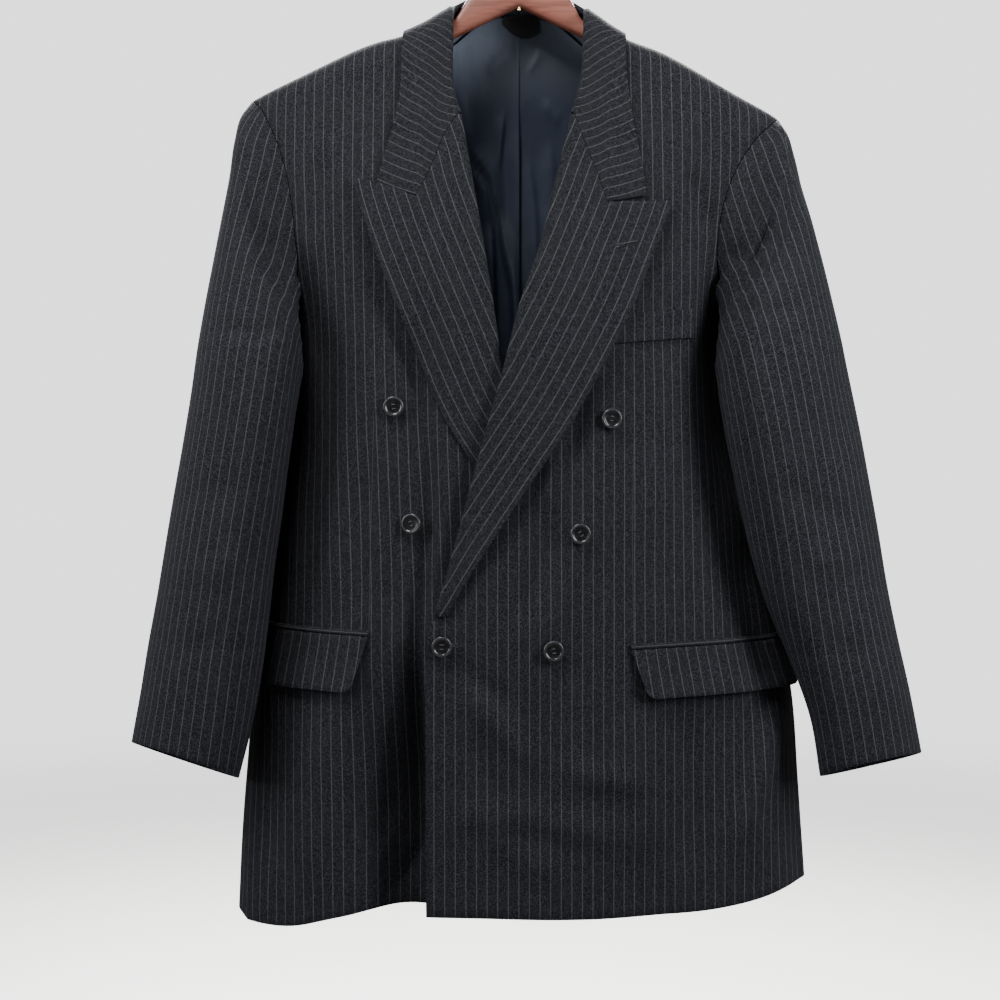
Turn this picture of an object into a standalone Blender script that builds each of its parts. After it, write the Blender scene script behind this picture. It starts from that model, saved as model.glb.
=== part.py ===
"""Double breasted blazer hanging on a wooden hanger.

The origin is the underside of the hook's top, where a rail carries it. +Z is up, the front of the
jacket faces -Y and the wearer's left side is +X. Sizes are in millimetres, and add_mesh() turns them
into metres. The cloth is a thin wall along one torso surface and two sleeve surfaces: each piece is
a grid of points on such a surface, lifted off it where the piece lies over another.
"""

import math

import bpy
import numpy as np
from mathutils import Vector

MM = 0.001

# Cloth and sewing
CLOTH = 1.8  # wall of wool, canvas and facing together
LINING = 1.2
SEAM_GAP = 0.3
FOLD_RADIUS = 2.6  # from the middle of an edge to the middle of the cloth that turns over it
OVERLAP_LIFT = 8.6  # the left front's outer face in front of the right front's
OVERLAP_ACROSS = (58, 140)  # x over which the left front comes back to the torso
OVERLAP_START = (-450, -250)  # levels over which it comes forward
SET_BACK = 40.0  # how far the right front's hem swings back behind the left one
SET_BACK_ACROSS = (-175, -95)
SET_BACK_START = (-890, -700)

# Torso sections: ROUNDNESS is the exponent of the superellipse, SHOULDER_RADIUS the height over
# which front and back part below the shoulder ridge.
ROUNDNESS = 2.6
SHOULDER_RADIUS = 30.0
# level, half width on the wearer's right, on the left, front of the section, its back, and how far
# behind the ridge the section is widest
TORSO = (
    (-985, 274, 280, 80, 60, 6),
    (-850, 266, 272, 82, 59, 8),
    (-760, 258, 265, 83, 58, 10),
    (-700, 250, 254, 84, 57, 12),
    (-640, 243, 234, 84, 56, 15),
    (-600, 237, 223, 84, 56, 17),
    (-560, 232, 214, 84, 57, 18),
    (-500, 224, 203, 84, 59, 18),
    (-431, 218, 197, 83, 61, 14),
    (-380, 229, 204, 81, 62, 8),
    (-331, 243, 216, 76, 61, 4),
    (-280, 252, 236, 68, 58, 0),
    (-220, 264, 262, 56, 51, 0),
    (-180, 272, 268, 48, 44, 0),
    (-130, 275, 270, 40, 34, 0),
    (-90, 275, 270, 34, 26, 0),
)
# x, height of the shoulder ridge
RIDGE = (
    (-275, -202),
    (-260, -194),
    (-218, -173),
    (-178, -155),
    (-137, -139),
    (-110, -131),
    (-90, -122),
    (-70, -110),
    (-35, -92),
    (0, -84),
    (35, -93),
    (70, -113),
    (90, -127),
    (102, -134),
    (140, -150),
    (177, -169),
    (215, -191),
    (252, -212),
    (270, -223),
)
# Largest drapes. x and level of the upper end, of the lower end, half width, height (minus is a dent)
FRONT_DRAPES = (
    (-95, -430, -112, -720, 22, -6),
    (-70, -490, -86, -740, 16, 3),
    (-188, -300, -205, -640, 24, -5),
    (173, -240, 172, -370, 22, -5),
    (182, -400, 204, -700, 22, -6),
    (243, -770, 216, -930, 16, 5),
    (120, -560, 128, -930, 30, 2),
)
BACK_DRAPES = (
    (-150, -260, -190, -620, 26, -5),
    (155, -250, 190, -600, 26, -5),
    (-60, -420, -96, -900, 32, 4),
    (70, -440, 110, -900, 32, 4),
    (0, -560, 4, -940, 26, -4),
)

# Seams. Pairs are x and level on the front or back of the torso; a side seam is an angle round it.
SIDE_SEAM_FRONT = 72.0  # degrees from the front's middle
SIDE_SEAM_BACK = (120.0, 138.0)  # at the armhole and at the hem
ARMHOLE_FRONT = {
    1: ((252, -212), (242, -222), (228, -236), (211, -259), (198, -286), (190, -316), (187, -350)),
    -1: (
        (-260, -194),
        (-249, -206),
        (-237, -228),
        (-224, -262),
        (-216, -300),
        (-212, -335),
        (-210, -360),
    ),
}
ARMHOLE_BACK = {
    1: ((252, -212), (240, -228), (224, -251), (208, -285), (199, -320)),
    -1: ((-260, -194), (-250, -212), (-238, -240), (-228, -280), (-221, -318)),
}
# angle, level: from the front side seam under the arm to the back side seam
UNDERARM = ((72, -402), (80, -421), (92, -431), (104, -421), (114, -390), (120, -352))
NECK_FRONT = {
    1: ((70, -113), (68, -132), (66, -150), (64, -171), (59, -197), (51, -222)),
    -1: ((-70, -110), (-70, -131), (-69, -149), (-68, -172), (-65, -200), (-58, -222)),
}
NECK_BACK = {
    1: ((70, -113), (58, -108), (38, -101), (0, -95)),
    -1: ((-70, -110), (-58, -106), (-38, -100), (0, -95)),
}
ROLL = {
    1: (
        (51, -222),
        (45, -250),
        (35, -290),
        (23, -343),
        (2, -406),
        (-12, -462),
        (-30, -527),
        (-58, -629),
        (-76, -689),
    ),
    -1: ((-58, -222), (-51, -263), (-41, -322), (-32, -377), (-19, -461), (-1, -560), (29, -689)),
}
FRONT_EDGE = {
    1: ((-76, -689), (-84, -706), (-86, -740), (-86, -830), (-86, -965)),
    -1: ((29, -689), (37, -706), (40, -740), (42, -830), (44, -966)),
}
HEM_FRONT = {
    1: ((-86, -965), (49, -967), (120, -966), (183, -963), (231, -955), (262, -947)),
    -1: ((44, -966), (-86, -967), (-125, -965), (-166, -970), (-215, -982), (-265, -983)),
}
HEM_SIDE_LEVEL = {1: -946, -1: -978}
HEM_BACK_LEVEL = -960

# Lapels: outer edge from the peak to the break, and the edge from the gorge's foot to the peak
GORGE = {
    1: ((51, -222), (55, -234), (61, -252), (70, -276), (80, -308)),
    -1: ((-58, -222), (-65, -232), (-73, -248), (-83, -274), (-96, -302)),
}
LAPEL_TOP = {1: ((80, -308), (120, -306), (141, -305)), -1: ((-96, -302), (-133, -288), (-155, -283))}
LAPEL_EDGE = {
    1: (
        (141, -305),
        (133, -328),
        (119, -363),
        (102, -404),
        (78, -453),
        (48, -509),
        (19, -554),
        (-33, -633),
        (-69, -690),
    ),
    -1: (
        (-155, -283),
        (-151, -300),
        (-142, -329),
        (-122, -382),
        (-97, -442),
        (-66, -515),
        (-38, -560),
        (-6, -622),
        (23, -690),
    ),
}
# Share of the way down the lapel, how far its outer edge springs off the front
LAPEL_SPRING = {
    1: ((0, 3), (0.25, 7), (0.6, 8), (0.85, 4), (1, 0)),
    -1: ((0, 3), (0.2, 6), (0.42, 3.5), (0.56, 0), (1, 0)),
}
FACING_WIDTH = 24.0

# Collar. From the back's middle to the gorge: where its fold lies off the neck seam (towards the
# neck, and out from the cloth), and its outer edge (x, level, 1 in front, 0 on the ridge, -1 behind).
COLLAR = {
    1: (
        (17.0, 16.0, 0, -124, -1),
        (15.0, 13.0, 46, -131, -1),
        (11.0, 6.5, 84, -140, -1),
        (8.5, 3.0, 99, -131, 0),
        (6.5, 1.8, 100, -158, 1),
        (5.0, 1.2, 102, -195, 1),
        (3.6, 0.4, 107, -232, 1),
        (2.8, -0.4, 113, -267, 1),
        (2.6, -0.9, 118, -301, 1),
    ),
    -1: (
        (17.0, 16.0, 0, -124, -1),
        (15.0, 13.0, -47, -130, -1),
        (11.0, 6.5, -88, -138, -1),
        (8.5, 3.0, -107, -128, 0),
        (6.5, 1.8, -111, -155, 1),
        (5.0, 1.2, -112, -190, 1),
        (3.6, 0.4, -116, -222, 1),
        (2.8, -0.4, -124, -254, 1),
        (2.6, -0.9, -133, -288, 1),
    ),
}
COLLAR_ROWS = 15
COLLAR_EDGE_LIFT = 3.4
NECK_EASE = 1.3  # how far a tall stand's foot keeps inside the neck seam
STAND_TUCK = 2.0  # how far a low stand's foot reaches behind the front
COLLAR_CROWN = 3.0  # how far the fall stands off halfway between fold and edge
GORGE_GAP = 0.7  # each side of the seam between collar and lapel

# Sleeves. Outer edge x and level, inner edge x and level, y of the outer edge, of the inner, half depth
SLEEVES = {
    1: (
        (260, -224, 205, -438, 0, -2, 60),
        (266, -245, 204, -441, -2, -6, 64),
        (274, -283, 202, -445, -3, -14, 67),
        (284, -320, 200, -450, -4, -24, 68),
        (293, -355, 197, -456, -5, -36, 67),
        (302, -392, 194, -469, -5, -48, 66),
        (311, -430, 191, -488, -6, -56, 65),
        (320, -471, 192, -515, -7, -60, 64),
        (329, -516, 198, -550, -8, -62, 62),
        (337, -562, 207, -592, -10, -62, 60),
        (346, -614, 218, -640, -12, -62, 57),
        (354, -666, 233, -686, -14, -62, 54),
        (363, -718, 254, -735, -18, -62, 50),
        (374, -772, 272, -786, -22, -62, 46),
        (384, -826, 281, -840, -26, -62, 42),
    ),
    -1: (
        (-269, -208, -225.5, -438, 0, -2, 60),
        (-275, -232, -224.5, -441, -2, -6, 64),
        (-280, -270, -222.5, -445, -3, -14, 67),
        (-287, -310, -220, -450, -4, -24, 68),
        (-295, -352, -217, -456, -5, -36, 67),
        (-303, -393, -214, -469, -5, -48, 66),
        (-310, -436, -212, -488, -6, -56, 65),
        (-316, -479, -213, -515, -7, -60, 64),
        (-324, -525, -217, -550, -8, -62, 62),
        (-332, -571, -222, -592, -10, -62, 60),
        (-340, -620, -229, -640, -12, -62, 57),
        (-348, -671, -234, -686, -15, -62, 54),
        (-356, -722, -240, -735, -20, -62, 50),
        (-362, -770, -250, -790, -26, -62, 46),
        (-369, -815, -263, -842, -32, -62, 42),
    ),
}
SLEEVE_ROUNDNESS = 2.1
CUFF_DROP = 12.0  # how much lower the cuff's back is than its middle
SLEEVE_FRONT_SEAM = 9  # place of each seam among the armhole's points
SLEEVE_BACK_SEAM = 16
SLEEVE_SEAM_GAP = 0.6  # each side of a sleeve's two long seams
ARMHOLE_GAP = 0.5
UNDERARM_TURN = 6.0  # how far the sleeve goes out under the arm before it turns down

# Pockets: start x, top level at the start, width along the cloth, height, fall over the width
HIP_POCKETS = {1: (101, -715, 168, 45, -6), -1: (-140, -704, 160, 52, -8)}
POCKET_COLUMNS = (0, 0.02, 0.05, 0.12, 0.22, 0.34, 0.46, 0.58, 0.7, 0.8, 0.88, 0.95, 1.0)
JET = 5.0
FLAP_SPRING = {1: 5.5, -1: 3.0}  # how far a flap's lower edge stands off the front
FLAP_LEAN = 9.0  # how far it hangs out to the side
POCKET_LIFT = 1.2
FLAP_CORNER = 12.0
# x and level of the breast welt's corners: inner top, outer top, outer foot, inner foot
WELT = ((76, -414), (162, -404), (162, -431), (76, -441))

# Buttons: x, level, whether on the left front
BUTTONS = (
    (-117, -497, False),
    (82, -509, True),
    (-99, -605, False),
    (54, -614, True),
    (-72, -716, True),
    (30, -720, True),
)
BUTTON_RADIUS = 9.5
# Turned outline of a button: radius as a share of the button's, height
BUTTON_PROFILE = (
    (0.0, 0.4),
    (0.55, 0.0),
    (0.9, 0.5),
    (1.0, 1.8),
    (0.96, 3.2),
    (0.82, 3.8),
    (0.68, 2.8),
    (0.0, 2.5),
)
BUTTON_SIDES = 16
BUTTON_CLEARANCE = 3.0

# Lining and label
LINING_GAP = 2.6
LINING_TOP = (
    (-176, -178),
    (-120, -152),
    (-70, -130),
    (-38, -107),
    (0, -100),
    (38, -108),
    (70, -132),
    (120, -161),
    (176, -190),
)
LINING_HEM = -930
# Distances from the back's middle of the lining's columns, and how much wider it is at its hem
LINING_COLUMNS = (0, 7, 14, 28, 48, 72, 98, 124, 150, 176)
LINING_FLARE = 0.12
LINING_ROWS = 15
LINING_PLEAT = 5.0
PLEAT_HALF_WIDTH = 7.0
PLEAT_HEAD = (-160, -132)
PLEAT_FOOT = (-800, -500)
LABEL_TOP = -100
LABEL_ENDS = (-16, 22)
LABEL_LOWEST = (7, -122)  # x, level
LABEL_CURVE = 34.0  # how fast its lower edge rises from there

# Hanger
ARM_END = 222.0
ARM_BEND = 60.0  # where the arms pass under the neck seam
ARM_THICKNESS = 13.0
ARM_CLEARANCE = 6.0
CENTRE_TOP = -76.0
CENTRE_BOTTOM = -101.0
HOOK_RADIUS = 20.0
WIRE_RADIUS = 1.9
HOOK_FOOT = ((0, SEAM_GAP), (0, 12), (0.6, 22), (4.5, 30))  # x, height above the wood
HOOK_TURN = (-60, 195)  # degrees from its start on the right, over the top, to its tip
NUT_RINGS = ((2.6, -1.8), (2.6, -2.6), (1.8, -3.4))  # radius, height from the wood's underside
NUT_SIDES = 10
ARM_RINGS = 31
ARM_SIDES = 12
ARM_ROUNDNESS = 3.5
ARM_DEPTH = 14.0
ARM_SLOPE = 0.48  # fall of the wood's underside from its middle
NECK_CURVE = 4.0  # how square the wood's shoulders are below the hook

CLOTH_COLOUR = (0.030, 0.032, 0.036)
MATERIALS = {
    "suiting": (CLOTH_COLOUR, 0.88, 0.0),
    "lining": ((0.024, 0.030, 0.050), 0.45, 0.0),
    "label": ((0.006, 0.006, 0.007), 0.7, 0.0),
    "horn": ((0.008, 0.008, 0.009), 0.18, 0.0),
    "wood": ((0.24, 0.07, 0.045), 0.32, 0.0),
    "steel": ((0.62, 0.62, 0.64), 0.22, 1.0),
    "brass": ((0.72, 0.52, 0.22), 0.28, 1.0),
}


# --- curves -----------------------------------------------------------------------------------


def through(knots, values):
    """A smooth function through the table's rows, held at its ends."""
    knots = np.asarray(knots, float)
    values = np.asarray(values, float)
    steps = np.diff(knots)
    spread = (-1,) + (1,) * (values.ndim - 1)
    chords = np.diff(values, axis=0) / steps.reshape(spread)
    before, after = steps[:-1].reshape(spread), steps[1:].reshape(spread)
    middle = (chords[:-1] * after + chords[1:] * before) / (before + after)
    slopes = np.concatenate([chords[:1], middle, chords[-1:]])

    def at(t):
        t = np.clip(np.asarray(t, float), knots[0], knots[-1])
        i = np.clip(np.searchsorted(knots, t, side="right") - 1, 0, len(steps) - 1)
        step = steps[i]
        f = (t - knots[i]) / step
        if values.ndim > 1:
            step, f = step[..., None], f[..., None]
        rising = f * f * (3 - 2 * f)
        return (
            (1 - rising) * values[i]
            + rising * values[i + 1]
            + f * (1 - f) * step * ((1 - f) * slopes[i] - f * slopes[i + 1])
        )

    return at


def line(points):
    """A smooth curve through the points, over 0 to 1 by length."""
    points = np.asarray(points, float)
    lengths = np.linalg.norm(np.diff(points, axis=0), axis=1)
    return through(np.concatenate([[0.0], np.cumsum(lengths)]) / lengths.sum(), points)


def line_value(table, at):
    """The second column of a two column table, at values of its first."""
    table = np.asarray(table, float)
    return through(table[:, 0], table[:, 1])(at)


def smooth(value, start, end):
    """0 at start and 1 at end, easing both ways."""
    f = np.clip((np.asarray(value, float) - start) / (end - start), 0, 1)
    return f * f * (3 - 2 * f)


def unit(vectors):
    return vectors / np.linalg.norm(vectors, axis=-1, keepdims=True)


# --- torso surface ----------------------------------------------------------------------------

SECTIONS = through([row[0] for row in TORSO], [row[1:] for row in TORSO])
RIDGE_HEIGHT = through([row[0] for row in RIDGE], [row[1] for row in RIDGE])
QUARTER = SHOULDER_RADIUS * math.pi / 2
FIRST_GUESS = 200  # half width from which round_torso() settles on the real one


def half_width(x, level):
    sections = SECTIONS(level)
    return np.where(np.asarray(x) < 0, sections[..., 0], sections[..., 1])


def drapes(table, x, level):
    """How far the drapes stand out at each point."""
    total = np.zeros(np.broadcast(x, level).shape)
    for x_top, top, x_foot, foot, width, height in table:
        along = np.clip((top - level) / (top - foot), -1, 2)
        centre = x_top + (x_foot - x_top) * np.clip(along, 0, 1)
        ends = smooth(along, -0.15, 0.25) * (1 - smooth(along, 0.75, 1.15))
        total = total + height * ends * np.exp(-(((x - centre) / width) ** 2))
    return total


def drop_of(x, level):
    """Length down the cloth from the shoulder ridge to a level."""
    below = np.maximum(RIDGE_HEIGHT(x) - level, 0)
    rounded = SHOULDER_RADIUS * np.arccos(1 - np.minimum(below / SHOULDER_RADIUS, 1))
    return np.where(below < SHOULDER_RADIUS, rounded, QUARTER + below - SHOULDER_RADIUS)


def angle_of(x, level, behind=False):
    share = np.minimum(np.abs(x) / half_width(x, level), 1)
    depth = (1 - share**ROUNDNESS) ** (1 / ROUNDNESS)
    angle = np.arctan2(share, -depth if behind else depth)
    return np.where(np.asarray(x) < 0, -angle, angle)


def settle(x, drop):
    """Depth behind the ridge as a share of the section's, and level, at a drop below the ridge."""
    turn = np.minimum(drop / SHOULDER_RADIUS, math.pi / 2)
    level = RIDGE_HEIGHT(x) - SHOULDER_RADIUS * (1 - np.cos(turn)) - np.maximum(drop - QUARTER, 0)
    return np.sin(turn), level


def finish_point(x, level, depth, share, front):
    sections = SECTIONS(level)
    middle = sections[..., 4]
    forward = share * (depth * (sections[..., 2] + middle) - middle)
    forward = forward + depth * drapes(FRONT_DRAPES, x, level)
    backward = share * (depth * (sections[..., 3] - middle) + middle)
    backward = backward + depth * drapes(BACK_DRAPES, x, level)
    return np.stack([x, np.where(front, -forward, backward), level], axis=-1)


def round_size(sine, cosine, roundness):
    """How far out a superellipse lies in a direction, for a half width of 1."""
    return (np.abs(sine) ** roundness + np.abs(cosine) ** roundness) ** (-1 / roundness)


def round_torso(angle, drop):
    """Points by the angle round the torso (0 in front, 90 degrees on the wearer's left) and the drop."""
    sine, cosine = np.sin(angle), np.cos(angle)
    size = round_size(sine, cosine, ROUNDNESS)
    x = FIRST_GUESS * size * sine
    for _ in range(12):
        share, level = settle(x, drop)
        x = half_width(sine, level) * size * sine
    return finish_point(x, level, size * np.abs(cosine), share, cosine > 0)


def over_torso(x, reach):
    """Points by x and the length from the ridge, plus in front and minus behind."""
    share, level = settle(x, np.abs(reach))
    beside = np.minimum(np.abs(x) / half_width(x, level), 1)
    depth = (1 - beside**ROUNDNESS) ** (1 / ROUNDNESS)
    return finish_point(x, level, depth, share, np.asarray(reach) > 0)


def with_normals(surface, first, second, sign):
    """Points of a surface and its unit normals, from small steps both ways."""
    step = 0.01 if surface is over_torso else np.radians(0.05)
    across = surface(first + step, second) - surface(first - step, second)
    down = surface(first, second + 0.05) - surface(first, second - 0.05)
    return surface(first, second), unit(np.cross(down, across) * sign)


def torso(angle, drop):
    return with_normals(round_torso, np.asarray(angle, float), np.maximum(drop, 0.06), 1)


def upper(x, reach):
    reach = np.asarray(reach, float)
    reach = np.where(np.abs(reach) < 0.06, np.where(reach < 0, -0.06, 0.06), reach)
    points, normals = with_normals(over_torso, np.asarray(x, float), reach, 1)
    return points, normals


def front(x, level):
    """Point and normal of the front's outer face at an x and a level."""
    return upper(x, drop_of(x, level))


def overlap(x, level):
    """How far the left front stands in front of the torso, to lie over the right one."""
    return OVERLAP_LIFT * (1 - smooth(x, *OVERLAP_ACROSS)) * (1 - smooth(level, *OVERLAP_START))


def set_back(x, level):
    """How far the right front swings back behind the left one near the hem."""
    return SET_BACK * (1 - smooth(level, *SET_BACK_START)) * smooth(x, *SET_BACK_ACROSS)


# --- meshes -----------------------------------------------------------------------------------


def clear_scene():
    for existing in list(bpy.data.objects):
        bpy.data.objects.remove(existing, do_unlink=True)


def make_material(name):
    colour, roughness, metallic = MATERIALS[name]
    material = bpy.data.materials.new(name)
    material.use_nodes = True
    shader = material.node_tree.nodes["Principled BSDF"]
    shader.inputs["Base Color"].default_value = (*colour, 1.0)
    shader.inputs["Roughness"].default_value = roughness
    shader.inputs["Metallic"].default_value = metallic
    return material


def add_object(name, data, material):
    made = bpy.data.objects.new(name, data)
    if material not in bpy.data.materials:
        make_material(material)
    data.materials.append(bpy.data.materials[material])
    bpy.context.scene.collection.objects.link(made)
    return made


def add_mesh(name, points, faces, material):
    mesh = bpy.data.meshes.new(name)
    mesh.from_pydata([tuple(point) for point in np.asarray(points) * MM], [], faces)
    mesh.shade_smooth()
    mesh.set_sharp_from_angle(angle=math.radians(40))
    return add_object(name, mesh, material)


def grid_normals(points, outwards):
    """Normals of a grid, turned to agree with the outwards vectors on the whole."""
    normals = np.cross(np.gradient(points, axis=0), np.gradient(points, axis=1))
    normals = unit(normals)
    return normals if (normals * outwards).sum() > 0 else -normals


def grid_faces(rows, columns, start, flipped):
    """Triangles over a grid. Both sides of a wall are cut along the same diagonals."""
    faces = []
    for row in range(rows - 1):
        for column in range(columns - 1):
            corner = start + row * columns + column
            opposite = corner + columns + 1
            for face in ((corner, corner + 1, opposite), (corner, opposite, corner + columns)):
                faces.append(face[::-1] if flipped else face)
    return faces


def rim_indices(rows, columns):
    """The grid's border, once round."""
    top = [column for column in range(columns)]
    right = [row * columns + columns - 1 for row in range(1, rows)]
    foot = [(rows - 1) * columns + column for column in range(columns - 2, -1, -1)]
    left = [row * columns for row in range(rows - 2, 0, -1)]
    return top + right + foot + left


def add_wall(name, points, normals, outer, inner, material):
    """A closed wall round a grid of points, from outer to inner along the normals."""
    rows, columns = points.shape[:2]
    count = rows * columns
    away = points + normals * outer
    towards = points + normals * inner
    turns = np.cross(away[:-1, 1:] - away[:-1, :-1], away[1:, :-1] - away[:-1, :-1])
    flipped = float((turns * normals[:-1, :-1]).sum()) < 0
    faces = grid_faces(rows, columns, 0, flipped) + grid_faces(rows, columns, count, not flipped)
    rim = rim_indices(rows, columns)
    for one, other in zip(rim, rim[1:] + rim[:1]):
        face = (other, one, one + count, other + count)
        faces.append(face[::-1] if flipped else face)
    corners = np.concatenate([away.reshape(-1, 3), towards.reshape(-1, 3)])
    return add_mesh(name, corners, faces, material)


def inset(points, sides="tblr", gap=SEAM_GAP / 2):
    """Draws the grid's sewn sides in: top, bottom, left, right."""
    points = points.copy()
    if "t" in sides:
        points[0] += gap * unit(points[1] - points[0])
    if "b" in sides:
        points[-1] += gap * unit(points[-2] - points[-1])
    if "l" in sides:
        points[:, 0] += gap * unit(points[:, 1] - points[:, 0])
    if "r" in sides:
        points[:, -1] += gap * unit(points[:, -2] - points[:, -1])
    return points


def coons(top, foot, left, right):
    """A grid between four rows of points that share their corners."""
    top, foot, left, right = (np.asarray(side, float) for side in (top, foot, left, right))
    across = np.linspace(0, 1, len(top))[None, :, None]
    down = np.linspace(0, 1, len(left))[:, None, None]
    ruled = (1 - across) * left[:, None] + across * right[:, None]
    lofted = (1 - down) * top[None] + down * foot[None]
    corners = (1 - down) * ((1 - across) * top[0] + across * top[-1]) + down * (
        (1 - across) * foot[0] + across * foot[-1]
    )
    return ruled + lofted - corners


# --- torso panels -----------------------------------------------------------------------------

ARM_ROWS = 8
SEAM_ROWS = 13
SIDE_COLUMNS = 6
SHOULDER_COLUMNS = 10
NECK_COLUMNS = 4
NECK_ROWS = 6
ROLL_ROWS = 10
EDGE_ROWS = ARM_ROWS + SEAM_ROWS - NECK_ROWS - ROLL_ROWS


def spaced(count, lean=1.0):
    """count + 1 shares from 0 to 1; a lean over 1 crowds them at the start."""
    return np.linspace(0, 1, count + 1) ** lean


def place(pairs, behind=False):
    """Angle and drop of pairs of x and level."""
    pairs = np.asarray(pairs, float)
    x, level = pairs[..., 0], pairs[..., 1]
    return np.stack([angle_of(x, level, behind), drop_of(x, level)], axis=-1)


def place_by_angle(degrees, level, side):
    """Angle and drop of a place given by its angle round the torso and its level."""
    angle = np.radians(np.asarray(degrees, float)) * side
    level = np.broadcast_to(np.asarray(level, float), angle.shape)
    size = round_size(np.sin(angle), np.cos(angle), ROUNDNESS)
    x = half_width(np.sin(angle), level) * size * np.sin(angle)
    return np.stack([angle, drop_of(x, level)], axis=-1)


def joined(*runs):
    """Runs of points end to end, each run's first point dropped after the first run's."""
    return np.concatenate([runs[0]] + [run[1:] for run in runs[1:]])


def armhole(side):
    """Angle and drop of the armhole's points: down the front, under the arm, up the back."""
    under = np.asarray(UNDERARM, float)
    bottom = line(np.column_stack([under[:, 0] * 3, under[:, 1]]))(spaced(SIDE_COLUMNS)) / (3, 1)
    bottom = place_by_angle(bottom[:, 0], bottom[:, 1], side)
    start, end = round_torso(bottom[0, 0], bottom[0, 1]), round_torso(bottom[-1, 0], bottom[-1, 1])
    down = line(ARMHOLE_FRONT[side] + ((start[0], start[2]),))(spaced(ARM_ROWS, 1.5))
    up = line(ARMHOLE_BACK[side] + ((end[0], end[2]),))(spaced(ARM_ROWS, 1.5))
    down, up = place(down), place(up, behind=True)
    down[-1], up[-1] = bottom[0], bottom[-1]
    return down, bottom, up


def side_seam(start, degrees, level, side):
    """Down a side seam from a place on the armhole to the hem."""
    drop = place_by_angle(degrees, level, side)
    return line([start, (start + drop) / 2, drop])(spaced(SEAM_ROWS))


def hem_corner(side, behind):
    degrees = SIDE_SEAM_BACK[1] if behind else SIDE_SEAM_FRONT
    level = HEM_SIDE_LEVEL[side] if not behind else (HEM_SIDE_LEVEL[side] + HEM_BACK_LEVEL) / 2
    return degrees, level


def level_hem(start, end, columns, side):
    """Along a hem from one (degrees, level) to another."""
    start, end = np.array(start), np.array(end)
    degrees, level = (start + (end - start) * spaced(columns)[:, None]).T
    return place_by_angle(degrees, level, side)


def shoulder(side):
    """x and level of the shoulder seam's points, from the sleeve to the neck."""
    tip, neck = ARMHOLE_FRONT[side][0][0], NECK_FRONT[side][0][0]
    x = tip + (neck - tip) * spaced(SHOULDER_COLUMNS)
    return np.column_stack([x, RIDGE_HEIGHT(x)])


def front_grid(side):
    """Angle and drop over one front, from the armhole to the front edge."""
    down, _, _ = armhole(side)
    degrees, level = hem_corner(side, behind=False)
    outer = joined(down, side_seam(down[-1], degrees, level, side))
    inner = joined(
        line(NECK_FRONT[side])(spaced(NECK_ROWS, 1.4)),
        line(ROLL[side])(spaced(ROLL_ROWS)),
        line(FRONT_EDGE[side])(spaced(EDGE_ROWS)),
    )
    hem = line(HEM_FRONT[side])(1 - spaced(SHOULDER_COLUMNS))
    hem, inner, top = place(hem), place(inner), place(shoulder(side))
    hem[0], hem[-1], top[0], top[-1] = outer[-1], inner[-1], outer[0], inner[0]
    return coons(top, hem, outer, inner)


def back_grid(side):
    """Angle and drop over one half of the back, from the armhole to the middle seam."""
    _, _, up = armhole(side)
    degrees, level = hem_corner(side, behind=True)
    outer = joined(up, side_seam(up[-1], degrees, level, side))
    top = joined(shoulder(side), line(NECK_BACK[side])(spaced(NECK_COLUMNS)))
    top = place(top, behind=True)
    rows = ARM_ROWS + SEAM_ROWS
    middle_drop = top[-1, 1] + (drop_of(0.0, HEM_BACK_LEVEL) - top[-1, 1]) * spaced(rows, 1.8)
    middle = np.column_stack([np.full(rows + 1, side * math.pi), middle_drop])
    hem = level_hem((degrees, level), (180.0, HEM_BACK_LEVEL), SHOULDER_COLUMNS + NECK_COLUMNS, side)
    top[0], top[-1] = outer[0], middle[0]
    return coons(top, hem, outer, middle)


def side_grid(side):
    down, bottom, up = armhole(side)
    start, end = hem_corner(side, behind=False), hem_corner(side, behind=True)
    fore = side_seam(bottom[0], *start, side)
    rear = side_seam(bottom[-1], *end, side)
    return coons(bottom, level_hem(start, end, SIDE_COLUMNS, side), fore, rear)


def add_panel(name, grid, lift):
    points, normals = torso(grid[..., 0], grid[..., 1])
    points = points + normals * lift(points)[..., None]
    points = inset(points)
    add_wall(name, points, normals, 0.0, -CLOTH, "suiting")


def flat(points):
    return np.zeros(points.shape[:2])


def left_front_lift(points):
    return overlap(points[..., 0], points[..., 2])


def right_front_lift(points):
    return -set_back(points[..., 0], points[..., 2])


# --- lapels and collar ------------------------------------------------------------------------

LAPEL_ROWS = 16
GORGE_COLUMNS = 4
TOP_COLUMNS = 3
CURL = (-90, -45, 0, 45, 90)  # degrees round an edge, from inside the garment to its outside


def lapel_lift(side, x, level):
    return overlap(x, level) if side > 0 else np.zeros(np.shape(x))


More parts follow.
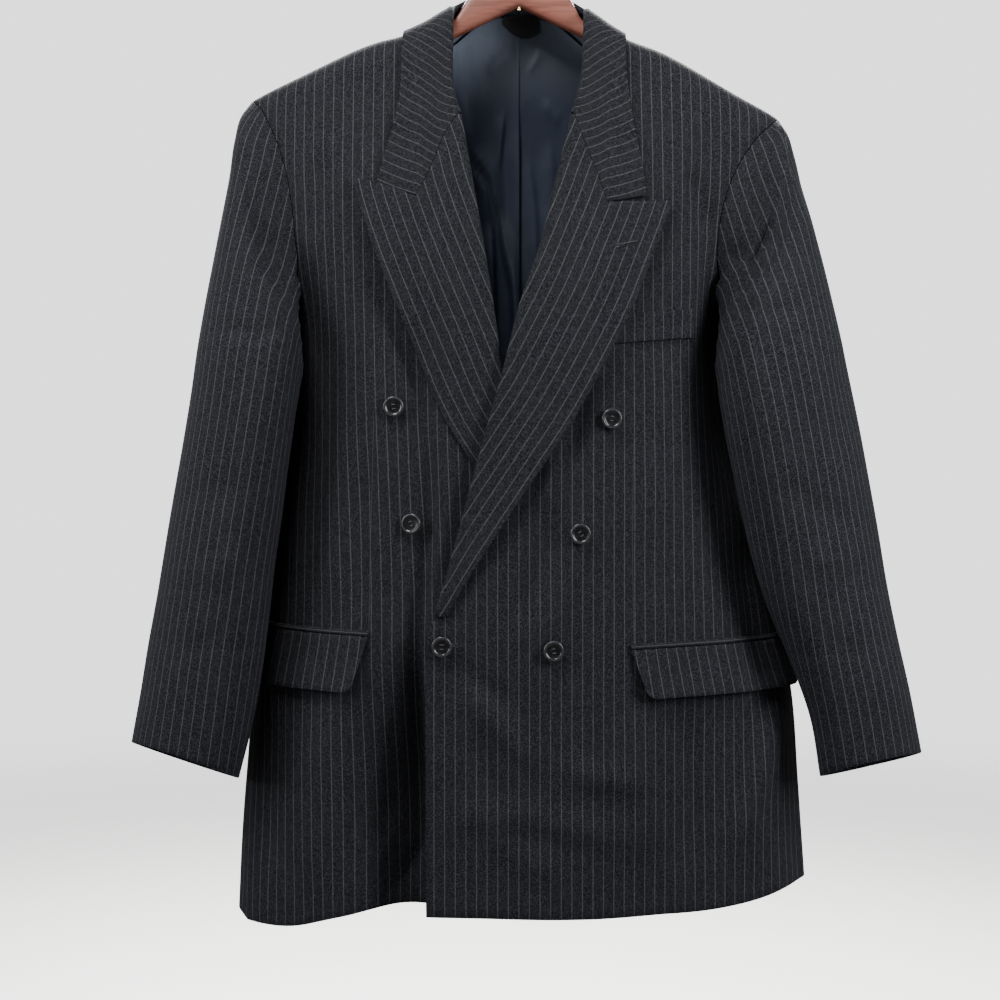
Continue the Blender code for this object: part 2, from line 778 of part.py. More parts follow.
def add_lapel(side, name):
    """The facing: behind the front, round its roll line, and over it as the lapel's leaf."""
    share = spaced(LAPEL_ROWS)
    roll = line(ROLL[side])(share)
    edge = line(LAPEL_EDGE[side])(share)
    top = joined(line(GORGE[side])(spaced(GORGE_COLUMNS)), line(LAPEL_TOP[side])(spaced(TOP_COLUMNS)))
    foot = roll[-1] + (edge[-1] - roll[-1]) * spaced(GORGE_COLUMNS + TOP_COLUMNS)[:, None]
    leaf = coons(top, foot, roll, edge)
    across = np.linspace(0, 1, leaf.shape[1])
    spring = np.maximum(line_value(LAPEL_SPRING[side], share), 0)
    middle = -CLOTH / 2
    lift = middle + FOLD_RADIUS + spring[:, None] * across**1.6
    lift = lift + lapel_lift(side, leaf[..., 0], leaf[..., 1])
    points, normals = front(leaf[..., 0], leaf[..., 1])
    leaf_points = points + normals * lift[..., None]

    along = unit(np.gradient(roll, axis=0))
    outward = np.column_stack([-along[:, 1], along[:, 0]]) * side
    base = lapel_lift(side, roll[:, 0], roll[:, 1]) + middle
    points, normals = front(roll[:, 0], roll[:, 1])
    beside = unit(np.cross(normals, np.gradient(points, axis=0))) * side
    rounds = []
    for degrees in CURL[:-1]:
        angle = math.radians(degrees)
        reach = FOLD_RADIUS * math.cos(angle)
        rise = base + FOLD_RADIUS * math.sin(angle)
        rounds.append(points + normals * rise[:, None] - beside * reach)
    facing = []
    width = FACING_WIDTH * (1 - 0.7 * smooth(share, 0.75, 1))
    for part in (1.0, 0.5):
        behind = roll + outward * (width * part)[:, None]
        spot, away = front(behind[:, 0], behind[:, 1])
        depth = lapel_lift(side, behind[:, 0], behind[:, 1]) + middle - FOLD_RADIUS
        facing.append(spot + away * depth[:, None])
    grid = np.concatenate([np.stack(facing + rounds, axis=1), leaf_points], axis=1)
    grid = inset(grid, "t", GORGE_GAP)
    leaf_start = len(facing) + len(rounds)
    outwards = np.zeros(grid.shape)
    outwards[:, leaf_start:, 1] = -1
    normals = grid_normals(grid, outwards)
    add_wall(name, grid, normals, CLOTH / 2, -CLOTH / 2, "suiting")


def reach_of(x, level, face):
    return np.where(np.asarray(face) == 0, 0.0, np.asarray(face) * drop_of(x, level))


def collar_half(side):
    """The collar's cross-sections from the back's middle to the gorge, as (x, reach, lift) grids."""
    table = np.asarray(COLLAR[side], float)
    behind = line(NECK_BACK[side][::-1])(np.array([0, 0.4, 0.75]))
    before = line(NECK_FRONT[side])(np.array([0, 0.16, 0.36, 0.58, 0.8, 1.0]))
    seam = np.concatenate([behind, before])
    face = table[:, 4]
    seam = np.column_stack([seam[:, 0], reach_of(seam[:, 0], seam[:, 1], face)])
    outer = np.column_stack([table[:, 2], reach_of(table[:, 2], table[:, 3], face)])
    stations = np.linspace(0, 1, len(table))
    wanted = spaced(COLLAR_ROWS)
    seam = through(stations, seam)(wanted)
    outer = through(stations, outer)(wanted)
    fold = through(stations, table[:, :2] * (-1, 1))(wanted)

    along = unit(np.gradient(seam, axis=0))
    outward = np.column_stack([along[:, 1], -along[:, 0]]) * side
    middle = -CLOTH / 2
    standing = smooth(-fold[:, 0], 3, 8)
    foot = np.column_stack([-NECK_EASE * standing, np.full(len(standing), middle)])
    ahead = unit(fold - foot)
    across = np.column_stack([ahead[:, 1], -ahead[:, 0]])
    centre = fold - ahead * FOLD_RADIUS
    stand_foot = foot - across * FOLD_RADIUS
    stand_foot[:, 0] += STAND_TUCK * (1 - standing)
    sections = [stand_foot, (stand_foot + centre - across * FOLD_RADIUS) / 2]
    for degrees in CURL:
        angle = math.radians(degrees)
        sections.append(centre + FOLD_RADIUS * (ahead * math.cos(angle) + across * math.sin(angle)))
    columns = [np.column_stack([seam + outward * section[:, :1], section[:, 1]]) for section in sections]
    start, start_lift = columns[-1][:, :2], columns[-1][:, 2]

    beyond = line([GORGE[side][-1], COLLAR[side][-1][2:4]])
    gorge = joined(line(GORGE[side])(spaced(GORGE_COLUMNS)), beyond(spaced(2)))
    gorge = np.column_stack([gorge[:, 0], drop_of(gorge[:, 0], gorge[:, 1])])
    share = spaced(len(gorge) - 1)
    bend = gorge - (start[-1] + (gorge[-1] - start[-1]) * share[:, None])
    fade = smooth(wanted, 0.45, 1.0)
    crown = COLLAR_CROWN * (1 - smooth(wanted, 0.1, 0.35))
    edge_lift = COLLAR_EDGE_LIFT - 0.4 * fade
    for part, aside in zip(share[1:], bend[1:]):
        spot = start + (outer - start) * part + aside * fade[:, None]
        lift = start_lift * (1 - part) + edge_lift * part + 4 * crown * part * (1 - part)
        columns.append(np.column_stack([spot, lift]))
    return np.stack(columns, axis=1)


def add_collar():
    left, right = collar_half(1), collar_half(-1)
    right = right[::-1]
    table = np.concatenate([right[:-1], (right[-1:] + left[:1]) / 2, left[1:]])
    points, normals = upper(table[..., 0], table[..., 1])
    grid = points + normals * table[..., 2:]
    for end in (0, -1):
        step = 1 if end == 0 else -2
        grid[end] += GORGE_GAP * unit(grid[step] - grid[end])
    outwards = np.zeros(grid.shape)
    outwards[:, -3:] = normals[:, -3:]
    add_wall("collar", grid, grid_normals(grid, outwards), CLOTH / 2, -CLOTH / 2, "suiting")


# --- sleeves ----------------------------------------------------------------------------------


def sleeve_grid(side):
    """Rings of points down the sleeve. The first is the armhole, and its points set the columns."""
    down, bottom, up = armhole(side)
    loop = joined(down, bottom, up[::-1])[:-1]
    points, normals = torso(loop[:, 0], loop[:, 1])
    middle = points.mean(axis=0)
    tangent = np.roll(points, -1, axis=0) - np.roll(points, 1, axis=0)
    inward = unit(np.cross(normals, tangent))
    inward *= np.sign((inward * (middle - points)).sum(axis=1, keepdims=True))
    start = points + inward * ARMHOLE_GAP

    y, level = points[:, 1], points[:, 2]
    upright = 2 * (level - level.min()) / (level[0] - level.min()) - 1
    forward = -y / np.where(y < 0, -y.min(), y.max())
    angle = np.arctan2(forward, upright)
    angle[0] = 0
    table = np.asarray(SLEEVES[side], float)
    rings = [start]
    sine, cosine = np.sin(angle), np.cos(angle)
    size = round_size(sine, cosine, SLEEVE_ROUNDNESS)
    for number, (outer_x, outer_z, inner_x, inner_z, outer_y, inner_y, depth) in enumerate(table):
        outer, inner = np.array([outer_x, outer_y, outer_z]), np.array([inner_x, inner_y, inner_z])
        tilt = CUFF_DROP * smooth(number, len(table) - 6, len(table) - 1)
        forward = np.array([0, -depth, tilt])
        ring = (outer + inner) / 2 + np.outer(size * cosine, (outer - inner) / 2)
        ring = ring + np.outer(size * sine, forward)
        if number == 0:
            under = smooth(-cosine, 0.2, 0.8)[:, None]
            turned = start + normals * UNDERARM_TURN - (0, 0, UNDERARM_TURN / 2)
            ring = ring * (1 - under) + turned * under
        rings.append(ring)
    return np.stack(rings), normals


def add_sleeve(side, word):
    rings, seam_normals = sleeve_grid(side)
    count = rings.shape[1]
    centre = rings.mean(axis=1, keepdims=True)
    wrapped = np.concatenate([rings[:, -1:], rings, rings[:, :1]], axis=1)
    normals = grid_normals(wrapped, wrapped - centre)[:, 1:-1]
    lean = smooth((normals[0] * seam_normals).sum(axis=1, keepdims=True), 0.3, 0.9)
    normals[0] = unit(normals[0] * (1 - lean) + seam_normals * lean)
    spans = {
        "topsleeve": np.arange(SLEEVE_BACK_SEAM - count, SLEEVE_FRONT_SEAM + 1) % count,
        "undersleeve": np.arange(SLEEVE_FRONT_SEAM, SLEEVE_BACK_SEAM + 1),
    }
    for piece, columns in spans.items():
        grid = inset(rings[:, columns], "lr", SLEEVE_SEAM_GAP)
        add_wall(f"{piece}_{word}", grid, normals[:, columns], 0.0, -CLOTH, "suiting")


# --- what lies on the fronts ------------------------------------------------------------------


def angles_along(x, level, side, lengths):
    """Angles round the torso at given lengths from x towards the side."""
    start = float(angle_of(x, level)) * side
    angles = np.linspace(start, start + 2.2, 400)
    places = place_by_angle(np.degrees(angles), level, side)
    points = round_torso(places[:, 0], places[:, 1])
    travelled = np.concatenate([[0.0], np.cumsum(np.linalg.norm(np.diff(points, axis=0), axis=1))])
    return np.degrees(np.interp(lengths, travelled, angles))


def add_hip_pocket(side, word):
    x, top, width, height, fall = HIP_POCKETS[side]
    lengths = width * np.array(POCKET_COLUMNS)
    degrees = angles_along(x, top, side, lengths)
    from_end = np.minimum(lengths, width - lengths)
    rounded = FLAP_CORNER - np.sqrt(
        np.maximum(FLAP_CORNER**2 - np.maximum(FLAP_CORNER - from_end, 0) ** 2, 0)
    )
    fallen = fall * lengths / width
    jet_rows, flap_rows = [], []
    for share in (0.0, 1.0):
        jet_rows.append(place_by_angle(degrees, top - fallen - JET * share, side))
    for share in (0.0, 0.35, 0.7, 1.0):
        depth = (height - rounded) * share
        degrees = angles_along(x, top, side, lengths + FLAP_LEAN * share)
        flap_rows.append(place_by_angle(degrees, top - JET - SEAM_GAP - fallen - depth, side))
    raise_by = left_front_lift if side > 0 else right_front_lift
    for name, rows, spring in (("jet", jet_rows, 0.0), ("flap", flap_rows, FLAP_SPRING[side])):
        grid = np.stack(rows)
        points, normals = torso(grid[..., 0], grid[..., 1])
        away = spring * np.linspace(0, 1, len(rows))[:, None] ** 1.3
        lift = raise_by(points) + away + POCKET_LIFT
        points = points + normals * lift[..., None]
        add_wall(f"{name}_{word}", points, normals, CLOTH, 0.0, "suiting")


def add_welt():
    inner_top, outer_top, outer_foot, inner_foot = WELT
    top = line([inner_top, outer_top])(spaced(6))
    foot = line([inner_foot, outer_foot])(spaced(6))
    grid = np.stack([top + (foot - top) * share for share in (0.0, 0.5, 1.0)])
    points, normals = front(grid[..., 0], grid[..., 1])
    lift = left_front_lift(points) + POCKET_LIFT
    add_wall("welt_left", points + normals * lift[..., None], normals, CLOTH - 0.6, 0.0, "suiting")


def add_button(number, x, level, on_left):
    """A turned button on the cloth, standing on its sewing."""
    points, faces = [], []
    profile = [(share * BUTTON_RADIUS, height) for share, height in BUTTON_PROFILE]
    for radius, height in profile[1:-1]:
        for step in range(BUTTON_SIDES):
            angle = 2 * math.pi * step / BUTTON_SIDES
            points.append((radius * math.cos(angle), radius * math.sin(angle), height))
    rings = len(profile) - 2
    for ring in range(rings - 1):
        for step in range(BUTTON_SIDES):
            after = (step + 1) % BUTTON_SIDES
            low, high = ring * BUTTON_SIDES, (ring + 1) * BUTTON_SIDES
            faces.append((low + step, low + after, high + after, high + step))
    points.append((0, 0, profile[0][1]))
    points.append((0, 0, profile[-1][1]))
    under, over = len(points) - 2, len(points) - 1
    for step in range(BUTTON_SIDES):
        after = (step + 1) % BUTTON_SIDES
        faces.append((after, step, under))
        last = (rings - 1) * BUTTON_SIDES
        faces.append((last + step, last + after, over))
    made = add_mesh(f"button_{number}", points, faces, "horn")
    spot, normal = front(np.array(float(x)), np.array(float(level)))
    lift = BUTTON_CLEARANCE + (float(overlap(x, level)) if on_left else 0.0)
    made.location = Vector((spot + normal * lift) * MM)
    made.rotation_euler = Vector(normal).to_track_quat("Z", "Y").to_euler()


# --- lining, label and hanger -----------------------------------------------------------------


def lining_lift(x, level):
    """The lining's face to the cloth, with the pleat down its middle standing towards the neck."""
    ends = smooth(level, *PLEAT_FOOT) * (1 - smooth(level, *PLEAT_HEAD))
    pleat = LINING_PLEAT * np.exp(-((x / PLEAT_HALF_WIDTH) ** 2)) * ends
    return -CLOTH - LINING_GAP - pleat


def add_lining():
    beside = np.array(LINING_COLUMNS, float)
    x = np.concatenate([-beside[:0:-1], beside])
    top = line_value(LINING_TOP, x)
    levels = top + (LINING_HEM - top) * spaced(LINING_ROWS, 1.8)[:, None]
    spread = x * (1 + LINING_FLARE * spaced(LINING_ROWS)[:, None])
    reach = -drop_of(spread, levels)
    points, normals = upper(spread, reach)
    points = points + normals * lining_lift(spread, levels)[..., None]
    add_wall("lining_back", points, normals, 0.0, -LINING, "lining")


def label_levels(x, shares):
    """Rows down the label, from its straight top to its curved lower edge."""
    foot = LABEL_LOWEST[1] + (x - LABEL_LOWEST[0]) ** 2 / LABEL_CURVE
    return LABEL_TOP + (foot - LABEL_TOP) * shares[:, None]


def add_label():
    levels = label_levels(np.linspace(*LABEL_ENDS, 9), spaced(2))
    x = np.broadcast_to(np.linspace(*LABEL_ENDS, 9), levels.shape)
    points, normals = upper(x, -drop_of(x, levels))
    lift = lining_lift(x, levels) - LINING - 0.8
    points = points + normals * lift[..., None]
    add_wall("neck_label", points, normals, 0.0, -0.7, "label")


def loft(name, rings, material):
    """A closed solid through rings of the same number of points, with flat ends."""
    count = len(rings[0])
    points = np.concatenate(rings)
    faces = []
    for ring in range(len(rings) - 1):
        for step in range(count):
            after = (step + 1) % count
            low, high = ring * count, (ring + 1) * count
            faces.append((low + step, high + step, high + after, low + after))
    faces.append(tuple(range(count)))
    last = (len(rings) - 1) * count
    faces.append(tuple(last + step for step in reversed(range(count))))
    first = rings[0]
    turn = np.cross(first[1] - first[0], first[2] - first[1])
    if turn @ (rings[1].mean(axis=0) - first.mean(axis=0)) > 0:
        faces = [face[::-1] for face in faces]
    return add_mesh(name, points, faces, material)


def arm_outline(x):
    """Top and bottom of the hanger's wood at an x."""
    beyond = abs(x)
    under_ridge = float(RIDGE_HEIGHT(x)) - CLOTH - ARM_CLEARANCE
    at_neck = float(RIDGE_HEIGHT(math.copysign(ARM_BEND, x))) - CLOTH - ARM_CLEARANCE
    rising = CENTRE_TOP + (at_neck - CENTRE_TOP) * (beyond / ARM_BEND) ** NECK_CURVE
    top = rising if beyond < ARM_BEND else under_ridge
    bottom = CENTRE_BOTTOM - beyond * ARM_SLOPE
    return top, min(bottom, top - ARM_DEPTH)


def add_hanger():
    rings = []
    around = 2 * math.pi * np.arange(ARM_SIDES) / ARM_SIDES
    size = round_size(np.sin(around), np.cos(around), ARM_ROUNDNESS)
    for x in np.linspace(-ARM_END, ARM_END, ARM_RINGS):
        top, bottom = arm_outline(x)
        closing = math.sqrt(max(1 - (abs(x) / (ARM_END + 2)) ** 14, 0.0))
        middle, half = (top + bottom) / 2, (top - bottom) / 2 * closing
        y = ARM_THICKNESS / 2 * closing * size * np.cos(around)
        rings.append(np.column_stack([np.full(ARM_SIDES, x), y, middle + half * size * np.sin(around)]))
    loft("hanger_wood", rings, "wood")

    radius = HOOK_RADIUS + WIRE_RADIUS
    centre = -HOOK_RADIUS
    turn = np.radians(np.arange(HOOK_TURN[0], HOOK_TURN[1] + 1, 15))
    arc = [(radius * math.cos(angle), centre + radius * math.sin(angle)) for angle in turn]
    route = [(x, CENTRE_TOP + rise) for x, rise in HOOK_FOOT] + arc
    wire = bpy.data.curves.new("hanger_hook", "CURVE")
    wire.dimensions = "3D"
    wire.bevel_depth = WIRE_RADIUS * MM
    wire.bevel_resolution = 2
    wire.use_fill_caps = True
    spline = wire.splines.new("POLY")
    spline.points.add(len(route) - 1)
    for point, (x, z) in zip(spline.points, route):
        point.co = (x * MM, 0.0, z * MM, 1.0)
    add_object("hanger_hook", wire, "steel")

    rings = []
    around = 2 * math.pi * np.arange(NUT_SIDES) / NUT_SIDES
    for radius, rise in NUT_RINGS:
        level = np.full(NUT_SIDES, CENTRE_BOTTOM + rise)
        rings.append(np.column_stack([radius * np.cos(around), radius * np.sin(around), level]))
    loft("hanger_nut", rings, "brass")


def main():
    clear_scene()
    for side, word in ((1, "left"), (-1, "right")):
        lift = left_front_lift if side > 0 else right_front_lift
        add_panel(f"front_{word}", front_grid(side), lift)
        add_panel(f"side_{word}", side_grid(side), flat)
        add_panel(f"back_{word}", back_grid(side), flat)
        add_lapel(side, f"lapel_{word}")
        add_sleeve(side, word)
        add_hip_pocket(side, word)
    add_collar()
    add_welt()
    for number, (x, level, on_left) in enumerate(BUTTONS, start=1):
        add_button(number, x, level, on_left)
    add_lining()
    add_label()
    add_hanger()


main()
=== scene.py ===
"""The double breasted blazer on its wooden hanger: cloth, lining, buttons and hanger as they look.

Sizes are in millimetres and mesh_piece() turns them into metres. The cloth lies on the same
surfaces as the solids: one torso surface, two sleeve surfaces, and the collar and lapels that fold
over them.
"""

import math

import bpy
import numpy as np
from mathutils import Matrix, Vector


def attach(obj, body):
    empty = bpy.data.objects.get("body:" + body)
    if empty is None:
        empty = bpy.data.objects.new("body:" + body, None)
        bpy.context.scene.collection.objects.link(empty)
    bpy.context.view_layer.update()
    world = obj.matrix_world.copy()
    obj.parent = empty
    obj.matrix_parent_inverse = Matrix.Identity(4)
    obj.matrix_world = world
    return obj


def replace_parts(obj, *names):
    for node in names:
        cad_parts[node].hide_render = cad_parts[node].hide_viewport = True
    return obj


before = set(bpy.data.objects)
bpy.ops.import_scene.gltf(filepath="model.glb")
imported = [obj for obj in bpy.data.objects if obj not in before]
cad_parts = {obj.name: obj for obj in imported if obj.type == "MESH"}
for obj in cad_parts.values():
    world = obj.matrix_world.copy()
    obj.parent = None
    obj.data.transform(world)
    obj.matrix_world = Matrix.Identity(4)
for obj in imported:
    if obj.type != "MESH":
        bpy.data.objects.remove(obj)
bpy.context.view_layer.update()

MM = 0.001
FINE = 6  # how much finer the cloth's grids are than the solids'
SIDES = ((1, "left"), (-1, "right"))  # the wearer's, and which way x goes on each

# Cloth and sewing
CLOTH = 1.8  # wall of wool, canvas and facing together
MIDDLE = -CLOTH / 2  # from its outer face to its middle
LINING = 1.2
SEAM_GAP = 0.3
FOLD_RADIUS = 2.6  # from the middle of an edge to the middle of the cloth that turns over it
OVERLAP_LIFT = 8.6  # the left front's outer face in front of the right front's
OVERLAP_ACROSS = (58, 140)  # x over which the left front comes back to the torso
OVERLAP_START = (-450, -250)  # levels over which it comes forward
SET_BACK = 40.0  # how far the right front's hem swings back behind the left one
SET_BACK_ACROSS = (-175, -95)
SET_BACK_START = (-890, -700)

# Torso sections: ROUNDNESS is the exponent of the superellipse, SHOULDER_RADIUS the height over
# which front and back part below the shoulder ridge.
ROUNDNESS = 2.6
SHOULDER_RADIUS = 30.0
# level, half width on the wearer's right, on the left, front of the section, its back, and how far
# behind the ridge the section is widest
TORSO = (
    (-985, 274, 280, 80, 60, 6),
    (-850, 266, 272, 82, 59, 8),
    (-760, 258, 265, 83, 58, 10),
    (-700, 250, 254, 84, 57, 12),
    (-640, 243, 234, 84, 56, 15),
    (-600, 237, 223, 84, 56, 17),
    (-560, 232, 214, 84, 57, 18),
    (-500, 224, 203, 84, 59, 18),
    (-431, 218, 197, 83, 61, 14),
    (-380, 229, 204, 81, 62, 8),
    (-331, 243, 216, 76, 61, 4),
    (-280, 252, 236, 68, 58, 0),
    (-220, 264, 262, 56, 51, 0),
    (-180, 272, 268, 48, 44, 0),
    (-130, 275, 270, 40, 34, 0),
    (-90, 275, 270, 34, 26, 0),
)
# x, height of the shoulder ridge
RIDGE = (
    (-275, -202), (-260, -194), (-218, -173), (-178, -155), (-137, -139), (-110, -131),
    (-90, -122), (-70, -110), (-35, -92), (0, -84), (35, -93), (70, -113), (90, -127), (102, -134),
    (140, -150), (177, -169), (215, -191), (252, -212), (270, -223),
)
# Largest drapes: x and level of the upper end, of the lower end, half width, height (minus is a
# dent)
FRONT_DRAPES = (
    (-95, -430, -112, -720, 22, -6),
    (-70, -490, -86, -740, 16, 3),
    (-188, -300, -205, -640, 24, -5),
    (173, -240, 172, -370, 22, -5),
    (182, -400, 204, -700, 22, -6),
    (243, -770, 216, -930, 16, 5),
    (120, -560, 128, -930, 30, 2),
)
BACK_DRAPES = (
    (-150, -260, -190, -620, 26, -5),
    (155, -250, 190, -600, 26, -5),
    (-60, -420, -96, -900, 32, 4),
    (70, -440, 110, -900, 32, 4),
    (0, -560, 4, -940, 26, -4),
)

# Seams. Pairs are x and level on the front or back of the torso; a side seam is an angle round it.
SIDE_SEAM_FRONT = 72.0  # degrees from the front's middle
SIDE_SEAM_BACK = (120.0, 138.0)  # at the armhole and at the hem
ARMHOLE_FRONT = {
    1: ((252, -212), (242, -222), (228, -236), (211, -259), (198, -286), (190, -316), (187, -350)),
    -1: (
        (-260, -194), (-249, -206), (-237, -228), (-224, -262), (-216, -300), (-212, -335),
        (-210, -360),
    ),
}
ARMHOLE_BACK = {
    1: ((252, -212), (240, -228), (224, -251), (208, -285), (199, -320)),
    -1: ((-260, -194), (-250, -212), (-238, -240), (-228, -280), (-221, -318)),
}
# angle, level: from the front side seam under the arm to the back side seam
UNDERARM = ((72, -402), (80, -421), (92, -431), (104, -421), (114, -390), (120, -352))
NECK_FRONT = {
    1: ((70, -113), (68, -132), (66, -150), (64, -171), (59, -197), (51, -222)),
    -1: ((-70, -110), (-70, -131), (-69, -149), (-68, -172), (-65, -200), (-58, -222)),
}
NECK_BACK = {
    1: ((70, -113), (58, -108), (38, -101), (0, -95)),
    -1: ((-70, -110), (-58, -106), (-38, -100), (0, -95)),
}
ROLL = {
    1: (
        (51, -222), (45, -250), (35, -290), (23, -343), (2, -406), (-12, -462), (-30, -527),
        (-58, -629), (-76, -689),
    ),
    -1: ((-58, -222), (-51, -263), (-41, -322), (-32, -377), (-19, -461), (-1, -560), (29, -689)),
}
FRONT_EDGE = {
    1: ((-76, -689), (-84, -706), (-86, -740), (-86, -830), (-86, -965)),
    -1: ((29, -689), (37, -706), (40, -740), (42, -830), (44, -966)),
}
HEM_FRONT = {
    1: ((-86, -965), (49, -967), (120, -966), (183, -963), (231, -955), (262, -947)),
    -1: ((44, -966), (-86, -967), (-125, -965), (-166, -970), (-215, -982), (-265, -983)),
}
HEM_SIDE_LEVEL = {1: -946, -1: -978}
HEM_BACK_LEVEL = -960

# Lapels: outer edge from the peak to the break, and the edge from the gorge's foot to the peak
GORGE = {
    1: ((51, -222), (55, -234), (61, -252), (70, -276), (80, -308)),
    -1: ((-58, -222), (-65, -232), (-73, -248), (-83, -274), (-96, -302)),
}
LAPEL_TOP = {
    1: ((80, -308), (120, -306), (141, -305)),
    -1: ((-96, -302), (-133, -288), (-155, -283)),
}
LAPEL_EDGE = {
    1: (
        (141, -305), (133, -328), (119, -363), (102, -404), (78, -453), (48, -509), (19, -554),
        (-33, -633), (-69, -690),
    ),
    -1: (
        (-155, -283), (-151, -300), (-142, -329), (-122, -382), (-97, -442), (-66, -515),
        (-38, -560), (-6, -622), (23, -690),
    ),
}
# Share of the way down the lapel, how far its outer edge springs off the front
LAPEL_SPRING = {
    1: ((0, 3), (0.25, 7), (0.6, 8), (0.85, 4), (1, 0)),
    -1: ((0, 3), (0.2, 6), (0.42, 3.5), (0.56, 0), (1, 0)),
}
FACING_WIDTH = 24.0

# Collar, at places from the back's middle to the gorge: where its fold lies off the neck seam
# (towards the neck, and out from the cloth), and 1 in front, 0 on the ridge or -1 behind.
COLLAR_FOLD = (
    (17.0, 16.0, -1), (15.0, 13.0, -1), (11.0, 6.5, -1), (8.5, 3.0, 0), (6.5, 1.8, 1),
    (5.0, 1.2, 1), (3.6, 0.4, 1), (2.8, -0.4, 1), (2.6, -0.9, 1),
)
# x and level of its outer edge, at the same places
COLLAR_EDGE = {
    1: (
        (0, -124), (46, -131), (84, -140), (99, -131), (100, -158), (102, -195), (107, -232),
        (113, -267), (118, -301),
    ),
    -1: (
        (0, -124), (-47, -130), (-88, -138), (-107, -128), (-111, -155), (-112, -190),
        (-116, -222), (-124, -254), (-133, -288),
    ),
}
# The same places as shares of the neck seams
COLLAR_BEHIND, COLLAR_BEFORE = (0, 0.4, 0.75), (0, 0.16, 0.36, 0.58, 0.8, 1.0)
COLLAR_ROWS = 15 * FINE
COLLAR_EDGE_LIFT = 3.4
NECK_EASE = 1.3  # how far a tall stand's foot keeps inside the neck seam
STAND_TUCK = 2.0  # how far a low stand's foot reaches behind the front
COLLAR_CROWN = 3.0  # how far the fall stands off halfway between fold and edge

# Sleeves: x and level of the outer edge, of the inner edge, y of the outer edge, of the inner, and
# half the depth.
SLEEVES = {
    1: (
        (260, -224, 205, -438, 0, -2, 60),
        (266, -245, 204, -441, -2, -6, 64),
        (274, -283, 202, -445, -3, -14, 67),
        (284, -320, 200, -450, -4, -24, 68),
        (293, -355, 197, -456, -5, -36, 67),
        (302, -392, 194, -469, -5, -48, 66),
        (311, -430, 191, -488, -6, -56, 65),
        (320, -471, 192, -515, -7, -60, 64),
        (329, -516, 198, -550, -8, -62, 62),
        (337, -562, 207, -592, -10, -62, 60),
        (346, -614, 218, -640, -12, -62, 57),
        (354, -666, 233, -686, -14, -62, 54),
        (363, -718, 254, -735, -18, -62, 50),
        (374, -772, 272, -786, -22, -62, 46),
        (384, -826, 281, -840, -26, -62, 42),
    ),
    -1: (
        (-269, -208, -225.5, -438, 0, -2, 60),
        (-275, -232, -224.5, -441, -2, -6, 64),
        (-280, -270, -222.5, -445, -3, -14, 67),
        (-287, -310, -220, -450, -4, -24, 68),
        (-295, -352, -217, -456, -5, -36, 67),
        (-303, -393, -214, -469, -5, -48, 66),
        (-310, -436, -212, -488, -6, -56, 65),
        (-316, -479, -213, -515, -7, -60, 64),
        (-324, -525, -217, -550, -8, -62, 62),
        (-332, -571, -222, -592, -10, -62, 60),
        (-340, -620, -229, -640, -12, -62, 57),
        (-348, -671, -234, -686, -15, -62, 54),
        (-356, -722, -240, -735, -20, -62, 50),
        (-362, -770, -250, -790, -26, -62, 46),
        (-369, -815, -263, -842, -32, -62, 42),
    ),
}
SLEEVE_ROUNDNESS = 2.1
CUFF_DROP = 12.0  # how much lower the cuff's back is than its middle
SLEEVE_FRONT_SEAM = 9 * FINE  # place of each seam among the armhole's points
SLEEVE_BACK_SEAM = 16 * FINE
ARMHOLE_GAP = 0.5
UNDERARM_TURN = 6.0  # how far the sleeve goes out under the arm before it turns down

# Pockets: start x, top level at the start, width along the cloth, height, fall over the width
HIP_POCKETS = {1: (101, -715, 168, 45, -6), -1: (-140, -704, 160, 52, -8)}
JET = 5.0
FLAP_SPRING = {1: 5.5, -1: 3.0}  # how far a flap's lower edge stands off the front
FLAP_LEAN = 9.0  # how far it hangs out to the side
POCKET_LIFT = 1.2
FLAP_CORNER = 12.0
# x and level of the breast welt's corners: inner top, outer top, outer foot, inner foot
WELT = ((76, -414), (162, -404), (162, -431), (76, -441))

# Buttons: x, level, whether on the left front
BUTTONS = (
    (-117, -497, False),
    (82, -509, True),
    (-99, -605, False),
    (54, -614, True),
    (-72, -716, True),
    (30, -720, True),
)
BUTTON_RADIUS = 9.5
BUTTON_CLEARANCE = 3.0

# Lining and label
LINING_GAP = 2.6
LINING_TOP = (
    (-176, -178), (-120, -152), (-70, -130), (-38, -107), (0, -100), (38, -108), (70, -132),
    (120, -161), (176, -190),
)
LINING_HEM = -930
LINING_HALF_WIDTH = 176
LINING_FLARE = 0.12  # how much wider it is at its hem
LINING_ROWS = 15 * FINE
LINING_PLEAT = 5.0
PLEAT_HALF_WIDTH = 7.0
PLEAT_HEAD = (-160, -132)
PLEAT_FOOT = (-800, -500)
LABEL_TOP = -100
LABEL_ENDS = (-16, 22)
LABEL_LOWEST = (7, -122)  # x, level
LABEL_CURVE = 34.0  # how fast its lower edge rises from there
LABEL_OFF, LABEL_WALL, LABEL_RIM = 0.8, 0.7, 0.3

# Hanger
ARM_END = 222.0
ARM_BEND = 60.0  # where the arms pass under the neck seam
ARM_THICKNESS = 13.0
ARM_CLEARANCE = 6.0
CENTRE_TOP = -76.0
CENTRE_BOTTOM = -101.0
HOOK_RADIUS = 20.0
WIRE_RADIUS = 1.9
HOOK_FOOT = ((0, SEAM_GAP), (0, 12), (0.6, 22), (4.5, 30))  # x, height above the wood
HOOK_TURN = (-60, 195)  # degrees from its start on the right, over the top, to its tip
ARM_ROUNDNESS = 3.5
ARM_DEPTH = 14.0
ARM_SLOPE = 0.48  # fall of the wood's underside from its middle
NECK_CURVE = 4.0  # how square the wood's shoulders are below the hook


# --- curves -----------------------------------------------------------------------------------


